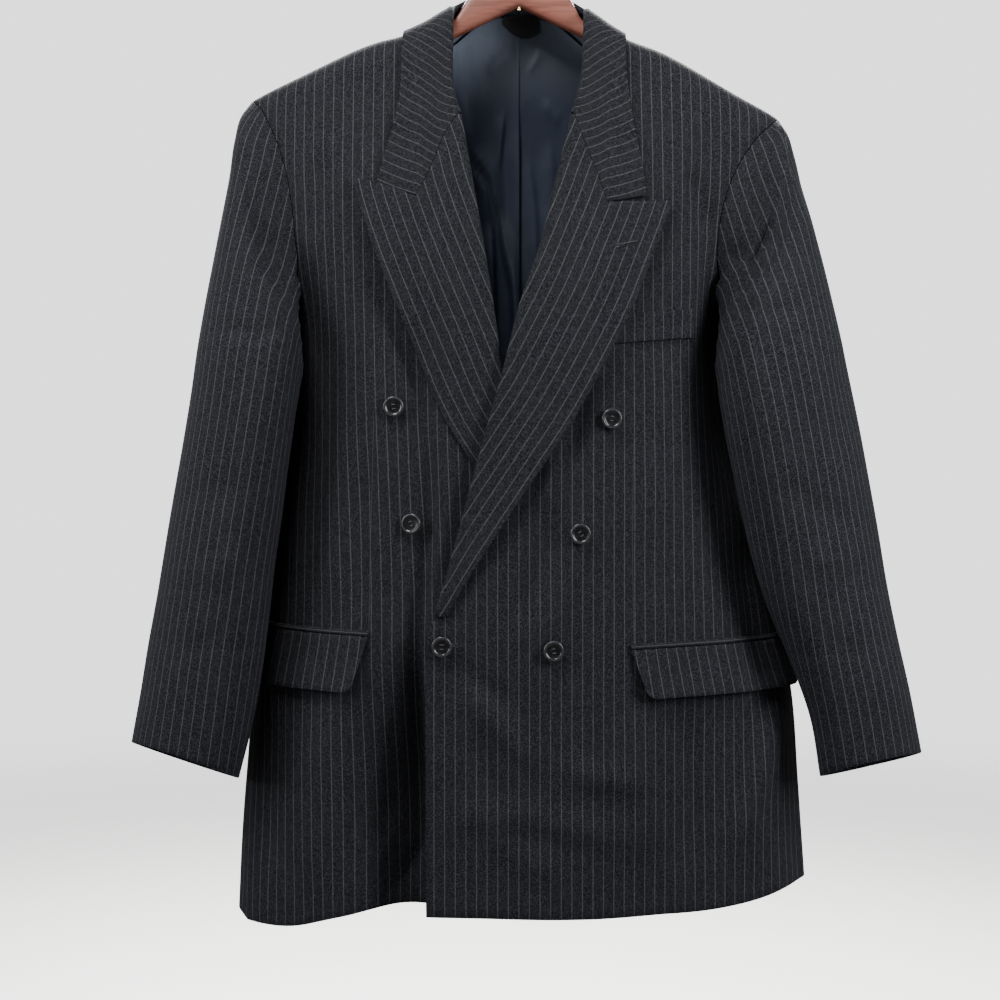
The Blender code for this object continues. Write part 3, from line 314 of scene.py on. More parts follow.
def through(knots, values):
    """A smooth function through the table's rows, held at its ends."""
    knots = np.asarray(knots, float)
    values = np.asarray(values, float)
    steps = np.diff(knots)
    spread = (-1,) + (1,) * (values.ndim - 1)
    chords = np.diff(values, axis=0) / steps.reshape(spread)
    before, after = steps[:-1].reshape(spread), steps[1:].reshape(spread)
    middle = (chords[:-1] * after + chords[1:] * before) / (before + after)
    slopes = np.concatenate([chords[:1], middle, chords[-1:]])

    def at(t):
        t = np.clip(np.asarray(t, float), knots[0], knots[-1])
        i = np.clip(np.searchsorted(knots, t, side="right") - 1, 0, len(steps) - 1)
        step = steps[i]
        f = (t - knots[i]) / step
        if values.ndim > 1:
            step, f = step[..., None], f[..., None]
        rising = f * f * (3 - 2 * f)
        return (
            (1 - rising) * values[i]
            + rising * values[i + 1]
            + f * (1 - f) * step * ((1 - f) * slopes[i] - f * slopes[i + 1])
        )

    return at


def line(points):
    """A smooth curve through the points, over 0 to 1 by length."""
    points = np.asarray(points, float)
    lengths = np.linalg.norm(np.diff(points, axis=0), axis=1)
    return through(np.concatenate([[0.0], np.cumsum(lengths)]) / lengths.sum(), points)


def line_value(table, at):
    """The second column of a two column table, at values of its first."""
    table = np.asarray(table, float)
    return through(table[:, 0], table[:, 1])(at)


def smooth(value, start, end):
    """0 at start and 1 at end, easing both ways."""
    f = np.clip((np.asarray(value, float) - start) / (end - start), 0, 1)
    return f * f * (3 - 2 * f)


def run_lengths(points, axis=0):
    """Length travelled along one direction of a grid, from 0 at its start."""
    steps = np.linalg.norm(np.diff(points, axis=axis), axis=-1)
    return np.concatenate([np.zeros_like(steps.take([0], axis)), np.cumsum(steps, axis)], axis)


def unit(vectors):
    return vectors / np.linalg.norm(vectors, axis=-1, keepdims=True)


# --- torso surface ----------------------------------------------------------------------------

SECTIONS = through([row[0] for row in TORSO], [row[1:] for row in TORSO])
RIDGE_HEIGHT = through([row[0] for row in RIDGE], [row[1] for row in RIDGE])
QUARTER = SHOULDER_RADIUS * math.pi / 2
# round_torso() settles on a place's half width from a first guess, in so many rounds
FIRST_GUESS, SETTLING_ROUNDS = 200, 12
# Steps that the normals are taken over, and how near to the ridge they may be taken
ANGLE_STEP, X_STEP, DROP_STEP = np.radians(0.05), 0.01, 0.05
NEAR_RIDGE = 0.06


def half_width(x, level):
    sections = SECTIONS(level)
    return np.where(np.asarray(x) < 0, sections[..., 0], sections[..., 1])


def drapes(table, x, level):
    """How far the drapes stand out at each point."""
    total = np.zeros(np.broadcast(x, level).shape)
    for x_top, top, x_foot, foot, width, height in table:
        along = np.clip((top - level) / (top - foot), -1, 2)
        centre = x_top + (x_foot - x_top) * np.clip(along, 0, 1)
        ends = smooth(along, -0.15, 0.25) * (1 - smooth(along, 0.75, 1.15))
        total = total + height * ends * np.exp(-(((x - centre) / width) ** 2))
    return total


def drop_of(x, level):
    """Length down the cloth from the shoulder ridge to a level."""
    below = np.maximum(RIDGE_HEIGHT(x) - level, 0)
    rounded = SHOULDER_RADIUS * np.arccos(1 - np.minimum(below / SHOULDER_RADIUS, 1))
    return np.where(below < SHOULDER_RADIUS, rounded, QUARTER + below - SHOULDER_RADIUS)


def angle_of(x, level, behind=False):
    share = np.minimum(np.abs(x) / half_width(x, level), 1)
    depth = (1 - share**ROUNDNESS) ** (1 / ROUNDNESS)
    angle = np.arctan2(share, -depth if behind else depth)
    return np.where(np.asarray(x) < 0, -angle, angle)


def settle(x, drop):
    """Depth behind the ridge as a share of the section's, and level, at a drop below the ridge."""
    turn = np.minimum(drop / SHOULDER_RADIUS, math.pi / 2)
    level = RIDGE_HEIGHT(x) - SHOULDER_RADIUS * (1 - np.cos(turn)) - np.maximum(drop - QUARTER, 0)
    return np.sin(turn), level


def finish_point(x, level, depth, share, front):
    sections = SECTIONS(level)
    middle = sections[..., 4]
    forward = share * (depth * (sections[..., 2] + middle) - middle)
    forward = forward + depth * drapes(FRONT_DRAPES, x, level)
    backward = share * (depth * (sections[..., 3] - middle) + middle)
    backward = backward + depth * drapes(BACK_DRAPES, x, level)
    return np.stack([x, np.where(front, -forward, backward), level], axis=-1)


def round_size(sine, cosine, roundness):
    """How far out a superellipse lies in a direction, for a half width of 1."""
    return (np.abs(sine) ** roundness + np.abs(cosine) ** roundness) ** (-1 / roundness)


def round_torso(angle, drop):
    """Points by the drop and the angle round the torso: 0 in front, 90 degrees on the left."""
    sine, cosine = np.sin(angle), np.cos(angle)
    size = round_size(sine, cosine, ROUNDNESS)
    x = FIRST_GUESS * size * sine
    for _ in range(SETTLING_ROUNDS):
        share, level = settle(x, drop)
        x = half_width(sine, level) * size * sine
    return finish_point(x, level, size * np.abs(cosine), share, cosine > 0)


def over_torso(x, reach):
    """Points by x and the length from the ridge, plus in front and minus behind."""
    share, level = settle(x, np.abs(reach))
    beside = np.minimum(np.abs(x) / half_width(x, level), 1)
    depth = (1 - beside**ROUNDNESS) ** (1 / ROUNDNESS)
    return finish_point(x, level, depth, share, np.asarray(reach) > 0)


def with_normals(surface, first, second, step):
    """Points of a surface and its unit normals, from small steps both ways."""
    across = surface(first + step, second) - surface(first - step, second)
    down = surface(first, second + DROP_STEP) - surface(first, second - DROP_STEP)
    return surface(first, second), unit(np.cross(down, across))


def torso(angle, drop):
    """Points and normals by the angle round the torso and the drop."""
    drop = np.maximum(drop, NEAR_RIDGE)
    return with_normals(round_torso, np.asarray(angle, float), drop, ANGLE_STEP)


def upper(x, reach):
    """Points and normals by x and the length from the ridge, plus in front and minus behind."""
    reach = np.asarray(reach, float)
    nearest = np.where(reach < 0, -NEAR_RIDGE, NEAR_RIDGE)
    reach = np.where(np.abs(reach) < NEAR_RIDGE, nearest, reach)
    return with_normals(over_torso, np.asarray(x, float), reach, X_STEP)


def front(x, level):
    """Point and normal of the front's outer face at an x and a level."""
    return upper(x, drop_of(x, level))


def overlap(x, level):
    """How far the left front stands in front of the torso, to lie over the right one."""
    return OVERLAP_LIFT * (1 - smooth(x, *OVERLAP_ACROSS)) * (1 - smooth(level, *OVERLAP_START))


def set_back(x, level):
    """How far the right front swings back behind the left one near the hem."""
    return SET_BACK * (1 - smooth(level, *SET_BACK_START)) * smooth(x, *SET_BACK_ACROSS)


def grid_normals(points, outwards):
    """Normals of a grid, turned to agree with the outwards vectors on the whole."""
    normals = unit(np.cross(np.gradient(points, axis=0), np.gradient(points, axis=1)))
    return normals if (normals * outwards).sum() > 0 else -normals


def rim_indices(rows, columns):
    """The grid's border, once round."""
    top = list(range(columns))
    right = [row * columns + columns - 1 for row in range(1, rows)]
    foot = [(rows - 1) * columns + column for column in range(columns - 2, -1, -1)]
    left = [row * columns for row in range(rows - 2, 0, -1)]
    return top + right + foot + left


def inset(points, sides, gap):
    """Draws the grid's sewn sides in: top, bottom, left, right."""
    points = points.copy()
    if "t" in sides:
        points[0] += gap * unit(points[1] - points[0])
    if "b" in sides:
        points[-1] += gap * unit(points[-2] - points[-1])
    if "l" in sides:
        points[:, 0] += gap * unit(points[:, 1] - points[:, 0])
    if "r" in sides:
        points[:, -1] += gap * unit(points[:, -2] - points[:, -1])
    return points


def coons(top, foot, left, right):
    """A grid between four rows of points that share their corners."""
    top, foot, left, right = (np.asarray(side, float) for side in (top, foot, left, right))
    across = np.linspace(0, 1, len(top))[None, :, None]
    down = np.linspace(0, 1, len(left))[:, None, None]
    ruled = (1 - across) * left[:, None] + across * right[:, None]
    lofted = (1 - down) * top[None] + down * foot[None]
    corners = (1 - down) * ((1 - across) * top[0] + across * top[-1]) + down * (
        (1 - across) * foot[0] + across * foot[-1]
    )
    return ruled + lofted - corners


# --- torso panels -----------------------------------------------------------------------------

# Quads along the panels' sides: the armhole, the side seam, and so on
ARM_ROWS = 8 * FINE
SEAM_ROWS = 13 * FINE
SIDE_COLUMNS = 6 * FINE
SHOULDER_COLUMNS = 10 * FINE
NECK_COLUMNS = 4 * FINE
NECK_ROWS = 6 * FINE
ROLL_ROWS = 10 * FINE
EDGE_ROWS = ARM_ROWS + SEAM_ROWS - NECK_ROWS - ROLL_ROWS


def spaced(count, lean=1.0):
    """count + 1 shares from 0 to 1; a lean over 1 crowds them at the start."""
    return np.linspace(0, 1, count + 1) ** lean


def place(pairs, behind=False):
    """Angle and drop of pairs of x and level."""
    pairs = np.asarray(pairs, float)
    x, level = pairs[..., 0], pairs[..., 1]
    return np.stack([angle_of(x, level, behind), drop_of(x, level)], axis=-1)


def place_by_angle(degrees, level, side):
    """Angle and drop of a place given by its angle round the torso and its level."""
    angle = np.radians(np.asarray(degrees, float)) * side
    level = np.broadcast_to(np.asarray(level, float), angle.shape)
    size = round_size(np.sin(angle), np.cos(angle), ROUNDNESS)
    x = half_width(np.sin(angle), level) * size * np.sin(angle)
    return np.stack([angle, drop_of(x, level)], axis=-1)


def joined(*runs):
    """Runs of points end to end, each run's first point dropped after the first run's."""
    return np.concatenate([runs[0]] + [run[1:] for run in runs[1:]])


MM_PER_DEGREE = 3  # roughly, round the torso under the arm
ARM_LEAN = 1.5  # crowds the armhole's rows at the shoulder


def armhole(side):
    """Angle and drop of the armhole's points: down the front, under the arm, up the back."""
    scale = (MM_PER_DEGREE, 1)
    bottom = line(np.asarray(UNDERARM, float) * scale)(spaced(SIDE_COLUMNS)) / scale
    bottom = place_by_angle(bottom[:, 0], bottom[:, 1], side)
    start, end = round_torso(bottom[0, 0], bottom[0, 1]), round_torso(bottom[-1, 0], bottom[-1, 1])
    down = line(ARMHOLE_FRONT[side] + ((start[0], start[2]),))(spaced(ARM_ROWS, ARM_LEAN))
    up = line(ARMHOLE_BACK[side] + ((end[0], end[2]),))(spaced(ARM_ROWS, ARM_LEAN))
    down, up = place(down), place(up, behind=True)
    down[-1], up[-1] = bottom[0], bottom[-1]
    return down, bottom, up


def side_seam(start, degrees, level, side):
    """Down a side seam from a place on the armhole to the hem."""
    drop = place_by_angle(degrees, level, side)
    return line([start, (start + drop) / 2, drop])(spaced(SEAM_ROWS))


def hem_corner(side, behind):
    """Degrees and level where a side seam meets the hem."""
    if behind:
        return SIDE_SEAM_BACK[1], (HEM_SIDE_LEVEL[side] + HEM_BACK_LEVEL) / 2
    return SIDE_SEAM_FRONT, HEM_SIDE_LEVEL[side]


def level_hem(start, end, columns, side):
    """Along a hem from one (degrees, level) to another."""
    start, end = np.array(start), np.array(end)
    degrees, level = (start + (end - start) * spaced(columns)[:, None]).T
    return place_by_angle(degrees, level, side)


def shoulder(side):
    """x and level of the shoulder seam's points, from the sleeve to the neck."""
    tip, neck = ARMHOLE_FRONT[side][0][0], NECK_FRONT[side][0][0]
    x = tip + (neck - tip) * spaced(SHOULDER_COLUMNS)
    return np.column_stack([x, RIDGE_HEIGHT(x)])


def front_grid(side):
    """Angle and drop over one front, from the armhole to the front edge."""
    down, _, _ = armhole(side)
    degrees, level = hem_corner(side, behind=False)
    outer = joined(down, side_seam(down[-1], degrees, level, side))
    inner = joined(
        line(NECK_FRONT[side])(spaced(NECK_ROWS, 1.4)),
        line(ROLL[side])(spaced(ROLL_ROWS)),
        line(FRONT_EDGE[side])(spaced(EDGE_ROWS)),
    )
    hem = line(HEM_FRONT[side])(1 - spaced(SHOULDER_COLUMNS))
    hem, inner, top = place(hem), place(inner), place(shoulder(side))
    hem[0], hem[-1], top[0], top[-1] = outer[-1], inner[-1], outer[0], inner[0]
    return coons(top, hem, outer, inner)


def back_grid(side):
    """Angle and drop over one half of the back, from the armhole to the middle seam."""
    _, _, up = armhole(side)
    degrees, level = hem_corner(side, behind=True)
    outer = joined(up, side_seam(up[-1], degrees, level, side))
    top = joined(shoulder(side), line(NECK_BACK[side])(spaced(NECK_COLUMNS)))
    top = place(top, behind=True)
    rows = ARM_ROWS + SEAM_ROWS
    middle_drop = top[-1, 1] + (drop_of(0.0, HEM_BACK_LEVEL) - top[-1, 1]) * spaced(rows, 1.8)
    middle = np.column_stack([np.full(rows + 1, side * math.pi), middle_drop])
    columns = SHOULDER_COLUMNS + NECK_COLUMNS
    hem = level_hem((degrees, level), (180.0, HEM_BACK_LEVEL), columns, side)
    top[0], top[-1] = outer[0], middle[0]
    return coons(top, hem, outer, middle)


def side_grid(side):
    """Angle and drop over one side panel, from the arm to the hem."""
    _, bottom, _ = armhole(side)
    start, end = hem_corner(side, behind=False), hem_corner(side, behind=True)
    fore = side_seam(bottom[0], *start, side)
    rear = side_seam(bottom[-1], *end, side)
    return coons(bottom, level_hem(start, end, SIDE_COLUMNS, side), fore, rear)


def front_lift(side, x, level):
    """How far a front stands off the torso, before its creases."""
    return overlap(x, level) if side > 0 else -set_back(x, level)


def lapel_lift(side, x, level):
    """The same where a lapel lies over it."""
    return overlap(x, level) if side > 0 else np.zeros(np.shape(x))


LAPEL_ROWS = 16 * FINE
GORGE_COLUMNS = 4 * FINE
TOP_COLUMNS = 3 * FINE


def reach_of(x, level, face):
    """Length from the ridge: plus in front (face 1), minus behind (face -1)."""
    return np.where(np.asarray(face) == 0, 0.0, np.asarray(face) * drop_of(x, level))


def sleeve_grid(side):
    """Rings of points down the sleeve. The first is the armhole, which sets the columns."""
    down, bottom, up = armhole(side)
    loop = joined(down, bottom, up[::-1])[:-1]
    points, normals = torso(loop[:, 0], loop[:, 1])
    middle = points.mean(axis=0)
    tangent = np.roll(points, -1, axis=0) - np.roll(points, 1, axis=0)
    inward = unit(np.cross(normals, tangent))
    inward *= np.sign((inward * (middle - points)).sum(axis=1, keepdims=True))
    start = points + inward * ARMHOLE_GAP

    y, level = points[:, 1], points[:, 2]
    upright = 2 * (level - level.min()) / (level[0] - level.min()) - 1
    forward = -y / np.where(y < 0, -y.min(), y.max())
    angle = np.arctan2(forward, upright)
    angle[0] = 0
    table = np.asarray(SLEEVES[side], float)
    rings = [start]
    sine, cosine = np.sin(angle), np.cos(angle)
    size = round_size(sine, cosine, SLEEVE_ROUNDNESS)
    for number, (outer_x, outer_z, inner_x, inner_z, outer_y, inner_y, depth) in enumerate(table):
        outer, inner = np.array([outer_x, outer_y, outer_z]), np.array([inner_x, inner_y, inner_z])
        tilt = CUFF_DROP * smooth(number, len(table) - 6, len(table) - 1)
        forward = np.array([0, -depth, tilt])
        ring = (outer + inner) / 2 + np.outer(size * cosine, (outer - inner) / 2)
        ring = ring + np.outer(size * sine, forward)
        if number == 0:
            under = smooth(-cosine, 0.2, 0.8)[:, None]
            turned = start + normals * UNDERARM_TURN - (0, 0, UNDERARM_TURN / 2)
            ring = ring * (1 - under) + turned * under
        rings.append(ring)
    return np.stack(rings), normals


def angles_along(x, level, side, lengths):
    """Angles round the torso at given lengths from x towards the side."""
    start = float(angle_of(x, level)) * side
    angles = np.linspace(start, start + 2.2, 400)
    places = place_by_angle(np.degrees(angles), level, side)
    travelled = run_lengths(round_torso(places[:, 0], places[:, 1]))
    return np.degrees(np.interp(lengths, travelled, angles))


def lining_lift(x, level):
    """The lining's face to the cloth, with the pleat down its middle standing towards the neck."""
    ends = smooth(level, *PLEAT_FOOT) * (1 - smooth(level, *PLEAT_HEAD))
    pleat = LINING_PLEAT * np.exp(-((x / PLEAT_HALF_WIDTH) ** 2)) * ends
    return -CLOTH - LINING_GAP - pleat


def label_levels(x, shares):
    """Rows down the label, from its straight top to its curved lower edge."""
    foot = LABEL_LOWEST[1] + (x - LABEL_LOWEST[0]) ** 2 / LABEL_CURVE
    return LABEL_TOP + (foot - LABEL_TOP) * shares[:, None]


def arm_outline(x):
    """Top and bottom of the hanger's wood at an x."""
    beyond = abs(x)
    under_ridge = float(RIDGE_HEIGHT(x)) - CLOTH - ARM_CLEARANCE
    at_neck = float(RIDGE_HEIGHT(math.copysign(ARM_BEND, x))) - CLOTH - ARM_CLEARANCE
    rising = CENTRE_TOP + (at_neck - CENTRE_TOP) * (beyond / ARM_BEND) ** NECK_CURVE
    top = rising if beyond < ARM_BEND else under_ridge
    bottom = CENTRE_BOTTOM - beyond * ARM_SLOPE
    return top, min(bottom, top - ARM_DEPTH)


# --- creases ----------------------------------------------------------------------------------
# The left sleeve's long fold from its cap to the armhole's foot, and the trough beside it
CAP_FOLD = (
    (243, -150), (248, -226), (249, -268), (243, -308), (232, -352), (214, -398), (200, -430),
)
CAP_TROUGH = (
    (253, -160), (258, -238), (259, -284), (252, -320), (241, -364), (223, -408), (208, -440),
)

# Each crease: its course (x, level), its half width on the side left of the course and on the
# other side, and its height (minus is a trough). All in millimetres.
CREASES = {
    "front_left": (
        (((37, -583), (20, -640), (-4, -705)), 13, 12, -4.8),
        (((56, -580), (42, -655), (14, -735)), 13, 12, 3.8),
        (((-62, -728), (-40, -745), (0, -772)), 4, 7, -3.9),
        (((-58, -752), (-20, -789), (24, -836)), 7, 9, 4.5),
        (((-50, -790), (-30, -835), (-20, -890)), 10, 9, -3.9),
        (((28, -826), (70, -838), (124, -842)), 12, 10, 4.8),
        (((-88, -890), (-28, -873), (40, -883), (110, -900)), 14, 8, 3.9),
        (((158, -268), (170, -300), (178, -338)), 9, 8, -5.0),
        (((184, -300), (186, -400), (196, -500), (208, -600)), 13, 16, -6.0),
        (((210, -600), (224, -690), (232, -800)), 13, 16, -6.0),
        (((246, -766), (228, -840), (190, -925)), 10, 14, 5.0),
        (((96, -770), (108, -850), (104, -930)), 20, 22, 4.5),
        (((150, -760), (158, -850), (148, -940)), 14, 13, -4.5),
        (((120, -420), (128, -520), (122, -640)), 16, 20, 3.6),
        (((12, -740), (18, -830), (10, -930)), 18, 14, -3.6),
        (((-40, -870), (-10, -905), (46, -930)), 12, 9, 2.7),
        (((20, -500), (28, -545), (22, -600)), 8, 9, 3.6),
        (((64, -440), (52, -500), (46, -560)), 10, 9, -3.9),
    ),
    "front_right": (
        (((-96, -860), (-99, -912), (-112, -932), (-136, -958)), 9, 2.5, -4.6),
        (((-118, -870), (-122, -905), (-140, -930)), 7, 8, 2.6),
        (((-88, -470), (-86, -560), (-92, -680), (-95, -800), (-95, -960)), 9, 10, -9.0),
        (((-118, -500), (-124, -600), (-130, -720)), 10, 10, 2.2),
        (((-136, -520), (-146, -600), (-150, -720)), 10, 10, -3.4),
        (((-160, -470), (-172, -590), (-176, -700)), 14, 14, 3.0),
        (((-150, -318), (-118, -410), (-72, -525)), 11, 9, -4.6),
        (((-196, -330), (-206, -450), (-204, -600)), 12, 12, -4.0),
        (((-186, -770), (-196, -860), (-190, -960)), 16, 16, 3.4),
        (((-230, -740), (-240, -850), (-236, -960)), 12, 12, -3.2),
        (((-140, -770), (-150, -850), (-146, -940)), 12, 14, -3.0),
        (((-180, -250), (-192, -290), (-196, -340)), 11, 9, -3.2),
    ),
    "back_left": (
        (((20, -300), (52, -480), (78, -700)), 26, 30, 3.0),
        (((60, -620), (92, -780), (96, -940)), 24, 22, -3.0),
        (((140, -640), (150, -780), (168, -930)), 22, 26, 3.4),
        (((196, -360), (176, -430), (120, -500)), 14, 18, -3.0),
        (((200, -330), (150, -360), (90, -372)), 13, 16, 1.6),
        (((8, -560), (30, -700), (30, -900)), 18, 22, -2.4),
    ),
    "back_right": (
        (((-24, -340), (-44, -500), (-70, -690)), 28, 24, 2.6),
        (((-70, -600), (-92, -760), (-104, -930)), 22, 24, -3.2),
        (((-150, -600), (-158, -760), (-176, -940)), 24, 20, 3.2),
        (((-202, -380), (-170, -440), (-110, -480)), 16, 14, -2.8),
        (((-190, -310), (-140, -352), (-80, -360)), 14, 12, 1.5),
        (((-6, -600), (-34, -720), (-24, -900)), 20, 18, 2.0),
    ),
    "sleeve_left": (
        (CAP_FOLD, 3, 20, 7.0),
        (CAP_TROUGH, 12, 3, -4.0),
        (((186, -346), (205, -351), (226, -357)), 4, 6, -5.5),
        (((196, -296), (206, -300), (216, -296)), 4, 5, -1.8),
        (((210, -412), (222, -419), (234, -425)), 4, 5, -2.2),
        (((224, -330), (248, -440), (272, -520)), 14, 12, 3.0),
        (((246, -262), (262, -300), (268, -352)), 12, 10, 2.4),
        (((214, -398), (236, -410), (262, -402)), 7, 8, -2.4),
        (((300, -430), (300, -500), (286, -560)), 14, 14, -2.4),
        (((236, -560), (268, -590), (318, -596)), 12, 14, -2.6),
        (((250, -625), (282, -640), (330, -632)), 13, 12, 2.0),
        (((262, -700), (300, -724), (346, -700)), 14, 12, -1.6),
        (((300, -650), (322, -730), (330, -800)), 18, 20, 1.8),
    ),
    "sleeve_right": (
        (((-262, -240), (-258, -300), (-246, -360)), 10, 12, -2.6),
        (((-246, -300), (-262, -420), (-270, -520)), 16, 14, 2.2),
        (((-232, -420), (-254, -430), (-286, -416)), 8, 9, -2.0),
        (((-250, -560), (-284, -580), (-318, -570)), 13, 14, -2.2),
        (((-248, -630), (-280, -648), (-322, -640)), 12, 14, 1.8),
        (((-262, -700), (-300, -720), (-340, -704)), 13, 12, -1.5),
        (((-290, -660), (-304, -740), (-310, -810)), 16, 18, 1.6),
    ),
    "sleeve_left_behind": (
        (((236, -260), (252, -330), (262, -420)), 14, 16, 2.8),
        (((214, -420), (250, -450), (296, -440)), 11, 13, -3.2),
        (((222, -520), (262, -560), (322, -548)), 12, 13, -3.6),
        (((226, -575), (268, -604), (330, -600)), 12, 12, 3.0),
        (((250, -690), (296, -712), (352, -690)), 14, 13, -2.2),
        (((300, -640), (322, -730), (340, -806)), 18, 16, 1.8),
    ),
    "sleeve_right_behind": (
        (((-244, -250), (-256, -340), (-262, -430)), 15, 14, 2.6),
        (((-222, -430), (-252, -458), (-298, -446)), 12, 12, -3.0),
        (((-226, -530), (-262, -566), (-318, -560)), 12, 14, -3.4),
        (((-230, -590), (-268, -616), (-324, -610)), 13, 12, 2.8),
        (((-250, -700), (-292, -716), (-344, -700)), 13, 14, -2.0),
    ),
    "lapel_left": (
        (((80, -330), (70, -400), (36, -500)), 16, 14, 1.0),
        (((60, -470), (20, -540), (-30, -620)), 12, 12, -1.0),
    ),
    "lapel_right": (
        (((-90, -320), (-76, -400), (-50, -480)), 14, 16, 1.0),
    ),
}


CREASE_STEPS = 20
CREASE_ENDS = 0.3  # share of its course over which a crease rises, and sinks again


def crease_height(courses, x, level):
    """How far the creases raise the cloth at each point."""
    total = np.zeros(np.shape(x))
    spots = np.stack([x, level], axis=-1)[..., None, :]
    for course, left_width, right_width, height in courses:
        path = line(course)(spaced(CREASE_STEPS))
        start, step = path[:-1], np.diff(path, axis=0)
        away = spots - start
        share = np.clip((away * step).sum(axis=-1) / (step**2).sum(axis=-1), 0, 1)
        distance = np.linalg.norm(away - share[..., None] * step, axis=-1)
        nearest = distance.argmin(axis=-1)[..., None]
        turn = step[:, 0] * away[..., 1] - step[:, 1] * away[..., 0]
        on_left = np.take_along_axis(turn, nearest, -1)[..., 0] > 0
        reach = np.take_along_axis(distance, nearest, -1)[..., 0]
        along = (nearest[..., 0] + np.take_along_axis(share, nearest, -1)[..., 0]) / len(step)
        ends = smooth(along, 0, CREASE_ENDS) * (1 - smooth(along, 1 - CREASE_ENDS, 1))
        width = np.where(on_left, left_width, right_width)
        total += height * ends * np.exp(-((reach / width) ** 2))
    return total


def ripple(x, level, turn):
    """Slight unevenness of hanging cloth, long upright and short across."""
    return (
        0.45 * np.sin(x / 17 + level / 140 + turn)
        + 0.35 * np.sin(x / 29 - level / 90 + 2 * turn)
        + 0.25 * np.sin(level / 26 + x / 60 + 3 * turn)
    )


# --- lengths on the cloth ---------------------------------------------------------------------

STRIPE_PITCH = 9.65
LEFT_STRIPE = 8.3  # place of a stripe on the left front
BACK_STRIPE = 4.8
# level, place of a stripe on the right front
RIGHT_STRIPE = (
    (-990, 9.6), (-912, 8.9), (-818, 7.6), (-666, 5.3), (-518, 0.4), (-265, -2.4), (-150, -3.0),
)
WRAP_TOP = -260.0  # above this level stripes go straight up
WRAP_STEP, WRAP_PER_DEGREE = 20, 2  # the table's rows and columns
WRAP_LEVELS = np.arange(-1000.0, WRAP_TOP + 1, WRAP_STEP)
WRAP_DEGREES = np.linspace(0, 180, 180 * WRAP_PER_DEGREE + 1)
WRAP_REACH = 205.0  # above it the lengths round the torso are measured up to this x,
WRAP_BEYOND = 1.05  # and x counts this much beyond it


def wrap_table(side):
    """Lengths round the torso's sections from the front's middle, by degrees and level."""
    degrees, levels = np.meshgrid(WRAP_DEGREES, WRAP_LEVELS, indexing="ij")
    places = place_by_angle(degrees, levels, side)
    return run_lengths(round_torso(places[..., 0], places[..., 1]))


WRAPS = {side: wrap_table(side) for side, _ in SIDES}


def wrap_length(x, level, side, behind):
    """Length along the cloth from the front's middle to points at an x and a level."""
    row_level = np.clip(level, WRAP_LEVELS[0], WRAP_TOP)
    held = np.where(level > WRAP_TOP, np.minimum(np.abs(x), WRAP_REACH), np.abs(x))
    degrees = np.degrees(np.abs(angle_of(held * side, row_level, behind)))
    row, column = degrees * WRAP_PER_DEGREE, (row_level - WRAP_LEVELS[0]) / WRAP_STEP
    table = WRAPS[side]
    i = np.clip(row.astype(int), 0, table.shape[0] - 2)
    j = np.clip(column.astype(int), 0, table.shape[1] - 2)
    f, g = row - i, column - j
    low = table[i, j] * (1 - f) + table[i + 1, j] * f
    high = table[i, j + 1] * (1 - f) + table[i + 1, j + 1] * f
    length = low * (1 - g) + high * g
    beyond = (np.abs(x) - held) * WRAP_BEYOND
    return length - beyond if behind else length + beyond


def front_weave(x, level, side):
    """Place in the cloth's weave on a front: across from a stripe, and down."""
    across = wrap_length(x, level, side, False) * np.where(x * side < 0, -1, 1)
    middle = LEFT_STRIPE if side > 0 else line_value(RIGHT_STRIPE, level)
    return np.stack([side * across - middle, level], axis=-1)


# --- pieces -----------------------------------------------------------------------------------

RIM = 0.55  # how far an edge's rounding reaches out
SEWN_RIM = 0.48  # how far a torso panel's edge stays back, so that sewn edges close
RIM_TURNS = (50, 0, -50)  # degrees of the rounding's rings
LEAST_SIZE = 0.0101  # metres, the least size that declare() gives a side; metres, the smallest flat side that a sheet may say


def border_outwards(points):
    """Unit directions out of a grid at its border, in rim_indices() order."""
    rows, columns = points.shape[:2]
    out = np.zeros(points.shape)
    out[0] += unit(points[0] - points[1])
    out[-1] += unit(points[-1] - points[-2])
    out[:, 0] += unit(points[:, 0] - points[:, 1])
    out[:, -1] += unit(points[:, -1] - points[:, -2])
    return unit(out.reshape(-1, 3)[rim_indices(rows, columns)])


def quads(rows, columns, start, flipped):
    """A grid's faces, its corners counted from start."""
    corner = (np.arange(rows - 1)[:, None] * columns + np.arange(columns - 1)).ravel() + start
    faces = np.stack([corner, corner + 1, corner + columns + 1, corner + columns], axis=-1)
    return faces[:, ::-1] if flipped else faces


